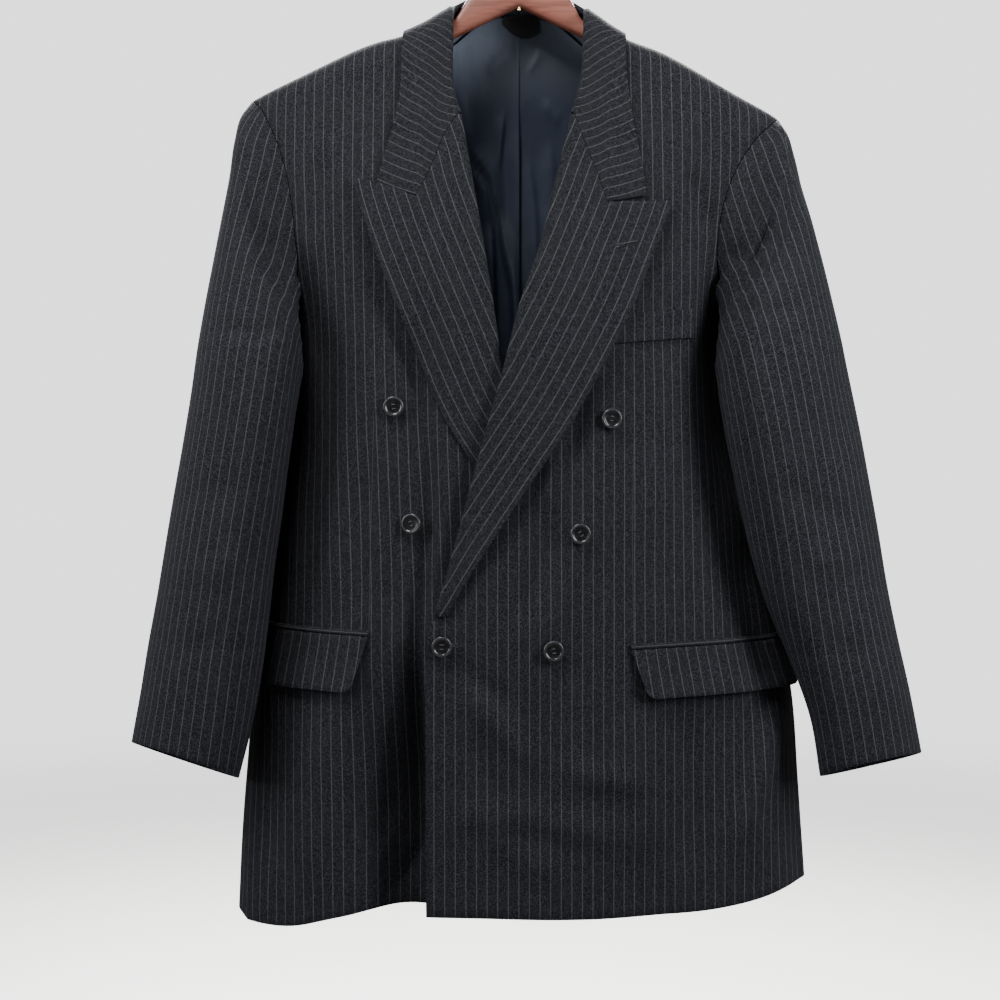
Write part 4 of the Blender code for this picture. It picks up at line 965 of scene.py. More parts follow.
def shell(
    node,
    points,
    normals,
    weave,
    held,
    rests_on,
    slots=("suiting",),
    wall=CLOTH,
    lined=None,
    rim=RIM,
):
    """A sheet of cloth with rounded edges. Lined tells which quads inside it show lining."""
    rows, columns = points.shape[:2]
    count = rows * columns
    border = np.array(rim_indices(rows, columns))
    out = border_outwards(points)
    turns = np.cross(points[:-1, 1:] - points[:-1, :-1], points[1:, :-1] - points[:-1, :-1])
    flipped = float((turns * normals[:-1, :-1]).sum()) < 0
    outer, inner = points, points - normals * wall
    middle = ((outer + inner) / 2).reshape(-1, 3)[border]
    away = normals.reshape(-1, 3)[border]
    rings = []
    for angle in map(math.radians, RIM_TURNS):
        rings.append(middle + away * wall / 2 * math.sin(angle) + out * rim * math.cos(angle))
    corners = np.concatenate([outer.reshape(-1, 3), inner.reshape(-1, 3)] + rings)
    faces = [quads(rows, columns, 0, flipped), quads(rows, columns, count, not flipped)]
    kinds = [np.zeros(len(faces[0]), int), np.zeros(len(faces[1]), int)]
    if lined is not None:
        kinds[1] = lined.ravel().astype(int)
    ring = 2 * count + np.arange(len(border))
    loops = [border] + [ring + len(border) * i for i in range(len(rings))] + [border + count]
    for one, other in zip(loops, loops[1:]):
        strip = np.stack([np.roll(one, -1), one, other, np.roll(other, -1)], axis=-1)
        faces.append(strip[:, ::-1] if flipped else strip)
        kinds.append(np.zeros(len(strip), int))
    flat_weave = weave.reshape(-1, 2)
    weaves = np.concatenate([flat_weave, flat_weave] + [flat_weave[border]] * len(rings))
    faces, kinds = np.concatenate(faces), np.concatenate(kinds)
    made = mesh_piece(f"{node}_cloth", corners, faces, slots, weaves, kinds)
    declare(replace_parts(made, node), points)


def show(name, data):
    """An object in the scene for a mesh, a lamp or a camera."""
    made = bpy.data.objects.new(name, data)
    bpy.context.scene.collection.objects.link(made)
    return made


def mesh_piece(name, corners, faces, slots, weaves=None, kinds=None):
    """A piece from corners in millimetres, riding on the garment's one body."""
    mesh = bpy.data.meshes.new(name)
    corners = (np.asarray(corners) * MM).tolist()
    mesh.from_pydata(corners, [], [list(map(int, face)) for face in faces])
    mesh.shade_smooth()
    if weaves is not None:
        layer = mesh.uv_layers.new(name="weave")
        used = np.zeros(len(mesh.loops), int)
        mesh.loops.foreach_get("vertex_index", used)
        layer.data.foreach_set("uv", (weaves[used] * MM).astype(np.float32).ravel())
    made = show(name, mesh)
    for material in slots:
        mesh.materials.append(materials[material])
    if kinds is not None:
        mesh.polygons.foreach_set("material_index", np.asarray(kinds, np.int32))
    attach(made, "root")
    return made


def cell(values):
    """Grid values at the middles of its quads."""
    return (values[:-1, :-1] + values[1:, :-1] + values[:-1, 1:] + values[1:, 1:]) / 4


def declare(piece, points):
    """The lengths of the cloth's longest row and column in metres; they are worked out and not
    passed on.
    """
    rows, columns = points.shape[0] // 2, points.shape[1] // 2
    width = run_lengths(points, 1)[[0, rows, -1], -1].max()
    length = run_lengths(points)[-1, [0, columns, -1]].max()
    width, length = (round(max(size * MM, LEAST_SIZE), 4) for size in (width, length))


# --- torso pieces -----------------------------------------------------------------------------

HEM_FACING = 42.0  # cloth turned up inside the hem
CALM_LEAST = 0.15  # share of its creases that a panel keeps at its seams
CALM_REACH = 9.0  # how far from them it has all of them


def panel_weave(part, side, points):
    """Place in the cloth's weave on one of the torso's panels."""
    x, level = points[..., 0], points[..., 2]
    if part == "front":
        return front_weave(x, level, side)
    if part == "back":
        half_round = np.interp(level, WRAP_LEVELS, WRAPS[side][-1])
        across = side * (half_round - wrap_length(x, level, side, True)) - BACK_STRIPE
    else:
        across = run_lengths(points, 1)
        across = across - across[:, -1:] / 2
    return np.stack([across, level], axis=-1)


def torso_piece(part, side, word, grid, turn):
    """A front, side or back panel, lined inside down to its hem's facing."""
    name = f"{part}_{word}"
    points, normals = torso(grid[..., 0], grid[..., 1])
    x, level = points[..., 0], points[..., 2]
    creased = crease_height(CREASES.get(name, ()), x, level) + ripple(x, level, turn)
    base = front_lift(side, x, level) if part == "front" else 0
    weave = panel_weave(part, side, points)
    raised = base + creased * calm_near_edges(points)
    points = inset(points + normals * raised[..., None], "tblr", SEWN_RIM)
    lined = cell(level) > np.median(level[-1]) + HEM_FACING
    slots = ("suiting", "lining")
    shell(name, points, normals, weave, "draped", ("hanger_wood",), slots, lined=lined)
    return points, normals


def calm_near_edges(points):
    """How much of its creases a panel keeps: less beside its seams, so that neighbours meet."""
    along = run_lengths(points, 1)
    beside = np.minimum(along, along[:, -1:] - along)
    return CALM_LEAST + (1 - CALM_LEAST) * smooth(beside, 0, CALM_REACH)


def add_torso():
    """The body's six panels; returns their faces by name."""
    faces = {}
    for side, word in SIDES:
        grids = {"front": front_grid(side), "back": back_grid(side), "side": side_grid(side)}
        for number, (part, grid) in enumerate(grids.items(), start=1):
            faces[f"{part}_{word}"] = torso_piece(part, side, word, grid, number * side)
    return faces


# --- lapels and collar ------------------------------------------------------------------------

CURL_DEGREES = tuple(range(-90, 91, 15))  # round a fold, from the cloth below to that above
FACING_PARTS = (1.0, 0.8, 0.6, 0.4, 0.2)
LAPEL_STRIPE, COLLAR_STRIPE = 5.2, 4.0  # where their first stripe lies
PEAK_LEAD = 60.0  # how far the lapel's edge is drawn on beyond its peak, for the stripes
GORGE_GROOVE = 0.12  # each side of the sewn seam between collar and lapel


def lapel_piece(side, word):
    """A lapel: the facing behind the roll line, the fold round it and the leaf over the front."""
    share = spaced(LAPEL_ROWS)
    roll, edge = line(ROLL[side])(share), line(LAPEL_EDGE[side])(share)
    gorge = line(GORGE[side])(spaced(GORGE_COLUMNS))
    top = joined(gorge, line(LAPEL_TOP[side])(spaced(TOP_COLUMNS)))
    foot = roll[-1] + (edge[-1] - roll[-1]) * spaced(GORGE_COLUMNS + TOP_COLUMNS)[:, None]
    leaf = coons(top, foot, roll, edge)
    x, level = leaf[..., 0], leaf[..., 1]
    across = np.linspace(0, 1, leaf.shape[1])
    spring = np.maximum(line_value(LAPEL_SPRING[side], share), 0)
    lift = MIDDLE + FOLD_RADIUS + spring[:, None] * across**1.6
    lift = lift + lapel_lift(side, x, level)
    lift = lift + crease_height(CREASES[f"lapel_{word}"], x, level) * smooth(across, 0, 0.3)
    points, normals = front(x, level)
    leaf_points = points + normals * lift[..., None]

    along = unit(np.gradient(roll, axis=0))
    outward = np.column_stack([-along[:, 1], along[:, 0]]) * side
    base = lapel_lift(side, roll[:, 0], roll[:, 1]) + MIDDLE
    points, normals = front(roll[:, 0], roll[:, 1])
    beside = unit(np.cross(normals, np.gradient(points, axis=0))) * side
    hidden = []
    width = FACING_WIDTH * (1 - 0.7 * smooth(share, 0.75, 1))
    for part in FACING_PARTS:
        behind = roll + outward * (width * part)[:, None]
        spot, away = front(behind[:, 0], behind[:, 1])
        depth = lapel_lift(side, behind[:, 0], behind[:, 1]) + MIDDLE - FOLD_RADIUS
        hidden.append(spot + away * depth[:, None])
    for angle in map(math.radians, CURL_DEGREES[:-1]):
        rise = base + FOLD_RADIUS * math.sin(angle)
        reach = FOLD_RADIUS * math.cos(angle)
        hidden.append(points + normals * rise[:, None] - beside * reach)
    grid = np.concatenate([np.stack(hidden, axis=1), leaf_points], axis=1)

    # Stripes follow the lapel's outer edge, and on the fold and the facing they follow the roll.
    lead = edge[0] - unit(edge[4 * FINE] - edge[0]) * PEAK_LEAD
    from_edge = distance_to(np.concatenate([[lead], edge]), leaf)
    steps = np.linalg.norm(np.diff(grid[:, : len(hidden) + 1], axis=1), axis=-1)
    beyond = np.cumsum(steps[:, ::-1], axis=1)[:, ::-1]
    across = np.concatenate([from_edge[:, :1] + beyond, from_edge], axis=1)
    weave = np.stack([across - LAPEL_STRIPE, grid[..., 2]], axis=-1)

    grid = inset(inset(grid, "t", GORGE_GROOVE), "tblr", RIM)
    outwards = np.zeros(grid.shape)
    outwards[:, len(hidden) :, 1] = -1
    normals = grid_normals(grid, outwards)
    outer = grid + normals * CLOTH / 2
    shell(f"lapel_{word}", outer, normals, weave, "folded", (f"front_{word}",))
    return outer, normals


def distance_to(path, spots):
    """Distance from points in a plane to a path."""
    best = np.full(spots.shape[:-1], np.inf)
    for start, step in zip(path[:-1], np.diff(path, axis=0)):
        away = spots - start
        share = np.clip((away @ step) / (step @ step), 0, 1)
        best = np.minimum(best, np.linalg.norm(away - share[..., None] * step, axis=-1))
    return best


def collar_half(side):
    """The collar from the back's middle to the gorge, as a grid of (x, reach, lift)."""
    table, edge = np.asarray(COLLAR_FOLD, float), np.asarray(COLLAR_EDGE[side], float)
    behind = line(NECK_BACK[side][::-1])(COLLAR_BEHIND)
    before = line(NECK_FRONT[side])(COLLAR_BEFORE)
    seam = np.concatenate([behind, before])
    face = table[:, 2]
    stations = np.linspace(0, 1, len(table))
    wanted = spaced(COLLAR_ROWS)
    seam, outer = (
        through(stations, np.column_stack([x, reach_of(x, level, face)]))(wanted)
        for x, level in (seam.T, edge.T)
    )
    fold = through(stations, table[:, :2] * (-1, 1))(wanted)

    # The stand goes up from the neck seam, and the fold turns over at its top.
    along = unit(np.gradient(seam, axis=0))
    outward = np.column_stack([along[:, 1], -along[:, 0]]) * side
    standing = smooth(-fold[:, 0], 3, 8)
    foot = np.column_stack([-NECK_EASE * standing, np.full(len(standing), MIDDLE)])
    ahead = unit(fold - foot)
    across = np.column_stack([ahead[:, 1], -ahead[:, 0]])
    centre = fold - ahead * FOLD_RADIUS
    stand_foot = foot - across * FOLD_RADIUS
    stand_foot[:, 0] += STAND_TUCK * (1 - standing)
    stand_top = centre - across * FOLD_RADIUS
    sections = [stand_foot + (stand_top - stand_foot) * part for part in spaced(6)[:-1]]
    for angle in map(math.radians, CURL_DEGREES):
        turned_over = ahead * math.cos(angle) + across * math.sin(angle)
        sections.append(centre + FOLD_RADIUS * turned_over)
    columns = [
        np.column_stack([seam + outward * section[:, :1], section[:, 1]]) for section in sections
    ]
    start, start_lift = columns[-1][:, :2], columns[-1][:, 2]

    # The fall comes down from the fold to the outer edge, and follows the gorge at its end.
    beyond = line([GORGE[side][-1], COLLAR_EDGE[side][-1]])
    gorge = joined(line(GORGE[side])(spaced(GORGE_COLUMNS)), beyond(spaced(2 * FINE)))
    gorge = np.column_stack([gorge[:, 0], drop_of(gorge[:, 0], gorge[:, 1])])
    share = spaced(len(gorge) - 1)
    bend = gorge - (start[-1] + (gorge[-1] - start[-1]) * share[:, None])
    fade = smooth(wanted, 0.45, 1.0)
    crown = COLLAR_CROWN * (1 - smooth(wanted, 0.1, 0.35))
    edge_lift = COLLAR_EDGE_LIFT - 0.4 * fade
    for part, aside in zip(share[1:], bend[1:]):
        spot = start + (outer - start) * part + aside * fade[:, None]
        lift = start_lift * (1 - part) + edge_lift * part + 4 * crown * part * (1 - part)
        columns.append(np.column_stack([spot, lift]))
    return np.stack(columns, axis=1)


def collar_piece():
    """The collar, stand and fall in one, its stripes counted from the back's middle."""
    left, right = collar_half(1), collar_half(-1)[::-1]
    table = np.concatenate([right[:-1], (right[-1:] + left[:1]) / 2, left[1:]])
    points, normals = upper(table[..., 0], table[..., 1])
    grid = points + normals * table[..., 2:]
    for end, step in ((0, 1), (-1, -2)):
        grid[end] += (GORGE_GROOVE + RIM) * unit(grid[step] - grid[end])
    grid = inset(grid, "lr", RIM)
    outwards = np.zeros(grid.shape)
    outwards[:, -3:] = normals[:, -3:]
    normals = grid_normals(grid, outwards)
    middle_row = len(grid) // 2
    weave = np.zeros(grid.shape[:2] + (2,))
    for half in (slice(middle_row, None), slice(middle_row, None, -1)):
        weave[half, :, 0] = run_lengths(grid[half]) - COLLAR_STRIPE
    weave[..., 1] = run_lengths(grid, 1)
    outer = grid + normals * CLOTH / 2
    shell("collar", outer, normals, weave, "folded", ("back_left", "back_right"))


# --- sleeves ----------------------------------------------------------------------------------

RING_STEPS = 8  # rings from one row of the sleeve's table to the next
SLEEVE_STRIPE = 4.8
SIDE_DEPTH = (46.0, 40.0)  # cloth from the outer line to where the front and the back begin
FRONT_FACE, BACK_FACE = 42, 92  # columns where the sleeve's front ends and its back begins
SLEEVE_RIM = 0.42
SLEEVE_LEAN = 23.0  # how far the sleeve's inner front leans on the body below the armhole
LEAN_LEVEL, LEAN_HEIGHT = -418, 50  # where it leans most, and how far it does up and down
ALLOWANCE = 9.0
ALLOWANCE_DEPTH = 0.7  # how far the allowance lies behind the sleeve's cloth
ALLOWANCE_SUNK = 0.9  # and how much further behind the body's
ALLOWANCE_WALL = 0.5


def fine_sleeve(side):
    """Rings down the sleeve, finer than the table's rows, and each ring's place along it."""
    rings, seam_normals = sleeve_grid(side)
    steps = np.diff(rings, axis=0)
    far = np.linalg.norm(steps, axis=-1, keepdims=True)
    run = steps / far
    between = (run[1:] * far[:-1] + run[:-1] * far[1:]) / (far[:-1] + far[1:])
    slopes = np.concatenate([run[:1], between, run[-1:]])
    t = np.arange(RING_STEPS)[:, None, None] / RING_STEPS
    rows = []
    for here in range(len(steps)):
        lifted = (t**3 - 2 * t**2 + t) * slopes[here] + (t**3 - t**2) * slopes[here + 1]
        rows.append(rings[here] + (3 * t**2 - 2 * t**3) * steps[here] + lifted * far[here])
    return np.concatenate(rows + [rings[-1:]]), seam_normals


def sleeve_weave(rings, side):
    """Places across the cloth, from the sleeve's outer line, and down it, for every point.

    The stripes keep their distance from the outer line across the front and the back of the
    sleeve, and the cap's fullness takes up the difference on its outer side.
    """
    middle = rings.mean(axis=1)
    held = np.clip(np.arange(len(rings)), 4 * RING_STEPS, len(rings) - 2 * RING_STEPS)
    ahead = unit(middle[held + 2 * RING_STEPS - 1] - middle[held - 2 * RING_STEPS])
    crown = rings[:, 0]
    crown = np.concatenate([crown[:1] + unit(crown[0] - crown[RING_STEPS])[None] * 40, crown])
    steps = np.roll(rings, -1, axis=1) - rings
    steps = steps - (steps * ahead[:, None]).sum(axis=-1, keepdims=True) * ahead[:, None]
    lengths = np.linalg.norm(steps, axis=-1)
    count = rings.shape[1]
    across = np.empty((len(rings), count + 1))
    for row, (ring, along) in enumerate(zip(rings, ahead)):
        outward = unit(np.array([-along[2], 0, along[0]])) * -np.sign(along[2]) * side
        outer_line = interpolate(-(ring @ along), -(crown @ along), crown @ outward)
        depth = ring[0, 1] - ring[:, 1]
        share = np.where(depth > 0, depth / depth.max(), depth / -depth.min())
        corner = np.sin(np.clip(np.abs(share) / 0.85, 0, 1) * math.pi / 2)
        placed = outer_line - ring @ outward + np.where(depth > 0, *SIDE_DEPTH) * corner
        across[row, :FRONT_FACE] = placed[:FRONT_FACE]
        more = np.cumsum(lengths[row, FRONT_FACE - 1 : BACK_FACE - 1])
        across[row, FRONT_FACE:BACK_FACE] = placed[FRONT_FACE - 1] + more
        whole = across[row, BACK_FACE - 1] + lengths[row, BACK_FACE - 1] + placed[BACK_FACE]
        across[row, BACK_FACE:count] = whole - placed[BACK_FACE:]
        across[row, 0], across[row, count] = 0, whole
    return across, ((rings - middle[0]) * ahead[:, None]).sum(axis=-1)


def interpolate(wanted, places, values):
    """Linear interpolation for places that fall instead of rising."""
    order = np.argsort(places)
    return np.interp(wanted, places[order], values[order])


def sleeve_pieces(side, word):
    """A top sleeve and an undersleeve, creased, lined, and leaning on the body under the arm."""
    rings, seam_normals = fine_sleeve(side)
    wrapped = np.concatenate([rings[:, -1:], rings, rings[:, :1]], axis=1)
    normals = grid_normals(wrapped, wrapped - rings.mean(axis=1, keepdims=True))[:, 1:-1]
    fade = np.clip(1 - np.arange(len(rings)) / RING_STEPS, 0, 1)[:, None, None]
    lean = smooth((normals[:1] * seam_normals).sum(axis=-1, keepdims=True), 0.3, 0.9) * fade**2
    normals = unit(normals * (1 - lean) + seam_normals * lean)
    x, level = rings[..., 0], rings[..., 2]
    raised = ripple(x, level, side + 5) * 0.7
    for name, facing in (("", -normals[..., 1]), ("_behind", normals[..., 1])):
        creased = crease_height(CREASES[f"sleeve_{word}{name}"], x, level)
        raised = raised + creased * smooth(facing, 0.0, 0.5)
    inwards = -normals[..., 0] * side
    calm = smooth(np.arange(len(rings)), 0, RING_STEPS * 0.6)[:, None]
    raised = raised * calm * (1 - 0.85 * smooth(inwards, 0.5, 0.95))
    rings = rings + normals * raised[..., None]
    near = np.exp(-(((level - LEAN_LEVEL) / LEAN_HEIGHT) ** 2)) * smooth(inwards, -0.5, 0.3)
    rings[..., 0] -= side * SLEEVE_LEAN * near * smooth(-rings[..., 1], 22, 46) * calm

    travelled, down = sleeve_weave(rings, side)
    count = rings.shape[1]
    spans = {
        "topsleeve": np.arange(SLEEVE_BACK_SEAM - count, SLEEVE_FRONT_SEAM + 1),
        "undersleeve": np.arange(SLEEVE_FRONT_SEAM, SLEEVE_BACK_SEAM + 1),
    }
    for piece, columns in spans.items():
        held = columns % count
        points = inset(inset(rings[:, held], "lr", SLEEVE_RIM), "tb", RIM)
        across = travelled[:, held] - np.where(columns < 0, travelled[:, -1:], 0)
        if piece == "undersleeve":
            across = across - (across[:, :1] + across[:, -1:]) / 2
        weave = np.stack([across - SLEEVE_STRIPE, -down[:, held]], axis=-1)
        lined = cell(down[:, held]) < down[-1].mean() - HEM_FACING
        under, slots = (f"front_{word}", f"back_{word}"), ("suiting", "lining")
        name, away = f"{piece}_{word}", normals[:, held]
        shell(name, points, away, weave, "hung", under, slots, lined=lined)


def armhole_allowance(side, word):
    """The seam allowance and tape behind the armhole seam, bridging the body and the sleeve."""
    rings, _ = fine_sleeve(side)
    down, bottom, up = armhole(side)
    loop = joined(down, bottom, up[::-1])[:-1]
    points, normals = torso(loop[:, 0], loop[:, 1])
    start = rings[0]
    inward = unit(start - points)
    ahead = unit(rings[RING_STEPS // 2] - start)
    tangent = np.roll(points, -1, axis=0) - np.roll(points, 1, axis=0)
    across = unit(np.cross(tangent, ahead))
    across *= np.sign((across * normals).sum(axis=1, keepdims=True))
    deep = CLOTH + ALLOWANCE_DEPTH
    between = unit(normals + across)
    rows = []
    for far, away in ((ALLOWANCE, normals), (ALLOWANCE / 3, normals), (0, between)):
        spot = points - inward * far
        before, behind = (
            crease_height(CREASES[f"{part}_{word}"], spot[:, 0], spot[:, 2])
            for part in ("front", "back")
        )
        raised = np.where(spot[:, 1] < 0, before, behind)
        rows.append(spot - away * (deep + ALLOWANCE_SUNK - np.minimum(raised, 0)[:, None]))
    rows += [start + ahead * far - across * deep for far in (ALLOWANCE / 3, ALLOWANCE)]
    grid, lean = np.stack(rows), np.stack([normals, normals, between, across, across])
    grid, lean = (np.concatenate([part, part[:, :1]], axis=1) for part in (grid, lean))
    behind = grid - lean * ALLOWANCE_WALL
    corners = np.concatenate([grid.reshape(-1, 3), behind.reshape(-1, 3)])
    rows, columns = grid.shape[:2]
    faces = [quads(rows, columns, 0, False), quads(rows, columns, rows * columns, True)]
    weaves = np.concatenate([grid[..., 1:].reshape(-1, 2)] * 2)
    name = f"armhole_allowance_{word}"
    mesh_piece(name, corners, np.concatenate(faces), ("suiting",), weaves)


# --- pockets ----------------------------------------------------------------------------------

JET_SWELL = 0.5
FLAP_WAVE = 0.7
FLAP_CURL = {1: 1.0, -1: 4.5}  # how far a flap's inner corner turns up
WELT_THINNER = 0.6  # than the cloth of the front


def cloth_lift(side, points):
    """How far a front's face, creased, stands off the torso."""
    x, level = points[..., 0], points[..., 2]
    creases = CREASES["front_left" if side > 0 else "front_right"]
    return front_lift(side, x, level) + crease_height(creases, x, level) + ripple(x, level, side)


def pocket_pieces(side, word):
    """The jet and the flap of a hip pocket, on the front's creased face."""
    x, top, width, height, fall = HIP_POCKETS[side]
    ends = np.linspace(0, FLAP_CORNER, 16)
    between = np.linspace(FLAP_CORNER, width - FLAP_CORNER, 60)[1:-1]
    lengths = np.concatenate([ends, between, width - ends[::-1]])
    in_corner = np.maximum(FLAP_CORNER - np.minimum(lengths, width - lengths), 0)
    rounded = FLAP_CORNER - np.sqrt(np.maximum(FLAP_CORNER**2 - in_corner**2, 0))
    top_line = top - fall * lengths / width
    for name, shares in (("jet", spaced(3)), ("flap", spaced(12))):
        down = shares[:, None]
        if name == "jet":
            levels, leans = top_line - JET * down, 0 * shares
        else:
            levels = top_line - JET - SEAM_GAP - (height - rounded) * down
            leans = FLAP_LEAN * shares
        rows = [
            place_by_angle(angles_along(x, top, side, lengths + lean), level, side)
            for lean, level in zip(leans, levels)
        ]
        grid = np.stack(rows)
        points, normals = torso(grid[..., 0], grid[..., 1])
        lift = cloth_lift(side, points) + POCKET_LIFT + CLOTH
        if name == "jet":
            along = np.broadcast_to(lengths, points.shape[:2])
            across = np.broadcast_to((down - 0.45) * JET, along.shape)
            lift = lift + JET_SWELL * np.sin(math.pi * down)
        else:
            matched = front_weave(points[..., 0], points[..., 2], side)
            across, along = (matched[:1, :, 0] + matched[..., 0]) / 2, matched[..., 1]
            lift = lift + FLAP_SPRING[side] * down**1.3
            lift = lift + FLAP_WAVE * np.sin(lengths / 27 + side) * down**2
            lift = lift + FLAP_CURL[side] * np.exp(-((lengths / 17) ** 2)) * down**3
        points = inset(points + normals * lift[..., None], "tblr", RIM)
        weave = np.stack([across, along], axis=-1)
        shell(f"{name}_{word}", points, normals, weave, "hung", (f"front_{word}",))


def welt_piece():
    """The breast pocket's welt."""
    inner_top, outer_top, outer_foot, inner_foot = WELT
    top = line([inner_top, outer_top])(spaced(40))
    foot = line([inner_foot, outer_foot])(spaced(40))
    grid = np.stack([top + (foot - top) * share for share in spaced(10)])
    points, normals = front(grid[..., 0], grid[..., 1])
    weave = front_weave(points[..., 0], points[..., 2], 1)
    wall = CLOTH - WELT_THINNER
    lift = cloth_lift(1, points) + POCKET_LIFT + wall
    points = inset(points + normals * lift[..., None], "tblr", RIM)
    shell("welt_left", points, normals, weave, "laid", ("front_left",), wall=wall)


# --- lining and label -------------------------------------------------------------------------

LINING_CREASES = (
    (((-62, -236), (-43, -254), (-34, -264), (-31, -284), (-24, -306)), 2.0, 10, 6.0),
    (((-56, -226), (-37, -246), (-28, -258), (-25, -278), (-17, -300)), 10, 2.0, 5.0),
    (((-28, -290), (-26, -345), (-24, -460)), 2.5, 12, 10.0),
    (((-18, -280), (-14, -330), (-7, -360), (-5, -460)), 9, 2.5, 9.0),
    (((-34, -152), (-20, -142), (-8, -135)), 1.5, 5, 2.2),
    (((6, -156), (16, -142), (22, -130)), 1.5, 5, 2.2),
    (((22, -180), (34, -190), (46, -201)), 1.5, 5, 2.0),
    (((-13, -188), (-17, -220), (-20, -256)), 1.5, 8, 3.0),
    (((8, -230), (16, -290), (18, -360)), 4, 9, 3.0),
    (((-60, -160), (-56, -200), (-50, -235)), 8, 8, 2.0),
    (((30, -210), (34, -260), (30, -330)), 5, 10, 2.2),
)
LINING_LOWEST = -1.6  # creases towards the back's cloth are no deeper than this
PLEAT_OPENS = (-250, -185)  # levels over which the stitched pleat opens below the neck
PLEAT_EDGE = 1.5
PLEAT_RISE, PLEAT_FALL = (-14, -1), (0.5, 3.5)  # x over which it rises, and drops at its edge


def lining_piece():
    """The back's lining, with its soft creases and the pleat down its middle."""
    steps = LINING_HALF_WIDTH * spaced(75, 1.5)
    x = np.concatenate([-steps[:0:-1], steps])
    top = line_value(LINING_TOP, x)
    levels = top + (LINING_HEM - top) * spaced(LINING_ROWS, 1.8)[:, None]
    spread = x * (1 + LINING_FLARE * spaced(LINING_ROWS)[:, None])
    points, normals = upper(spread, -drop_of(spread, levels))
    below = top - levels
    soft = crease_height(LINING_CREASES, spread, levels) * smooth(below, 4, 30)
    fold = smooth(levels, *PLEAT_FOOT) * (1 - smooth(levels, *PLEAT_OPENS))
    fold = fold * smooth(spread, *PLEAT_RISE) * (1 - smooth(spread, *PLEAT_FALL))
    edge = smooth(below, 10, 30) * smooth(spread, -7, -0.4) * (1 - smooth(spread, 0.3, 1.3))
    lift = -CLOTH - LINING_GAP - LINING_PLEAT * fold - PLEAT_EDGE * edge * (1 - fold)
    lift = lift - np.maximum(soft, LINING_LOWEST)
    points = inset(points + normals * lift[..., None], "tblr", RIM)
    weave = np.stack([spread, levels], axis=-1)
    under = ("back_left", "back_right")
    shell("lining_back", points, normals, weave, "hung", under, ("lining",), LINING)


def label_piece():
    """The label at the neck, which carries no text."""
    x = np.linspace(*LABEL_ENDS, 60)
    levels = label_levels(x, spaced(20))
    x = np.broadcast_to(x, levels.shape)
    points, normals = upper(x, -drop_of(x, levels))
    lift = lining_lift(x, levels) - LINING - LABEL_OFF
    points = inset(points + normals * lift[..., None], "tblr", LABEL_RIM)
    weave = np.stack([x, levels], axis=-1)
    looks = {"slots": ("label",), "wall": LABEL_WALL, "rim": LABEL_RIM}
    shell("neck_label", points, normals, weave, "laid", ("lining_back",), **looks)


# --- buttons ----------------------------------------------------------------------------------

BUTTON_OUTLINE = (
    (0.0, 0.5), (0.5, 0.45), (0.8, 0.7), (0.93, 1.15), (0.985, 1.7), (1.0, 2.25), (0.99, 2.9),
    (0.95, 3.4), (0.89, 3.7), (0.82, 3.72), (0.76, 3.5), (0.71, 3.12), (0.66, 2.82), (0.6, 2.7),
    (0.4, 2.62), (0.2, 2.58), (0.0, 2.56),
)
BUTTON_TURNS = (8, -12, 20, 35, -6, 14)  # degrees that each has turned on its thread
HOLE_PLACE = 1.95  # each hole's distance from the middle, both ways
HOLE_RADIUS = 0.85
HOLE_CUTTER = ((0, -1), (HOLE_RADIUS, -1), (HOLE_RADIUS, 2.3), (HOLE_RADIUS * 1.5, 3.4), (0, 3.4))
THREAD_SPREAD = (-0.32, 0.0, 0.32)  # the strands of a stitch, side by side
SHANK_TURNS = 7
RIM_HIGHLIGHT_START = 0.72  # share of the radius where the painted highlight on the rim begins


def turned(profile, sides):
    """A turned solid's corners and faces. Its profile (radius, height) ends on the axis."""
    corners, faces = [(0, 0, profile[0][1])], []
    rings = profile[1:-1]
    for radius, height in rings:
        for step in range(sides):
            angle = 2 * math.pi * step / sides
            corners.append((radius * math.cos(angle), radius * math.sin(angle), height))
    corners.append((0, 0, profile[-1][1]))
    top = len(corners) - 1
    for step in range(sides):
        after = (step + 1) % sides
        faces.append((0, 1 + after, 1 + step))
        for ring in range(len(rings) - 1):
            low, high = 1 + ring * sides, 1 + (ring + 1) * sides
            faces.append((low + step, low + after, high + after, high + step))
        last = 1 + (len(rings) - 1) * sides
        faces.append((last + step, last + after, top))
    return corners, faces


def loft_faces(rings, count):
    """Faces of a loft through rings of count corners, closed at both ends."""
    faces = []
    for ring in range(rings - 1):
        for step in range(count):
            after = (step + 1) % count
            low, high = ring * count, (ring + 1) * count
            faces.append((low + step, low + after, high + after, high + step))
    faces.append(tuple(reversed(range(count))))
    faces.append(tuple((rings - 1) * count + step for step in range(count)))
    return faces


def scratch_object(name, corners, faces):
    """A shape that only cuts, or is cut."""
    mesh = bpy.data.meshes.new(name)
    mesh.from_pydata([tuple(np.asarray(corner, float) * MM) for corner in corners], [], faces)
    return show(name, mesh)


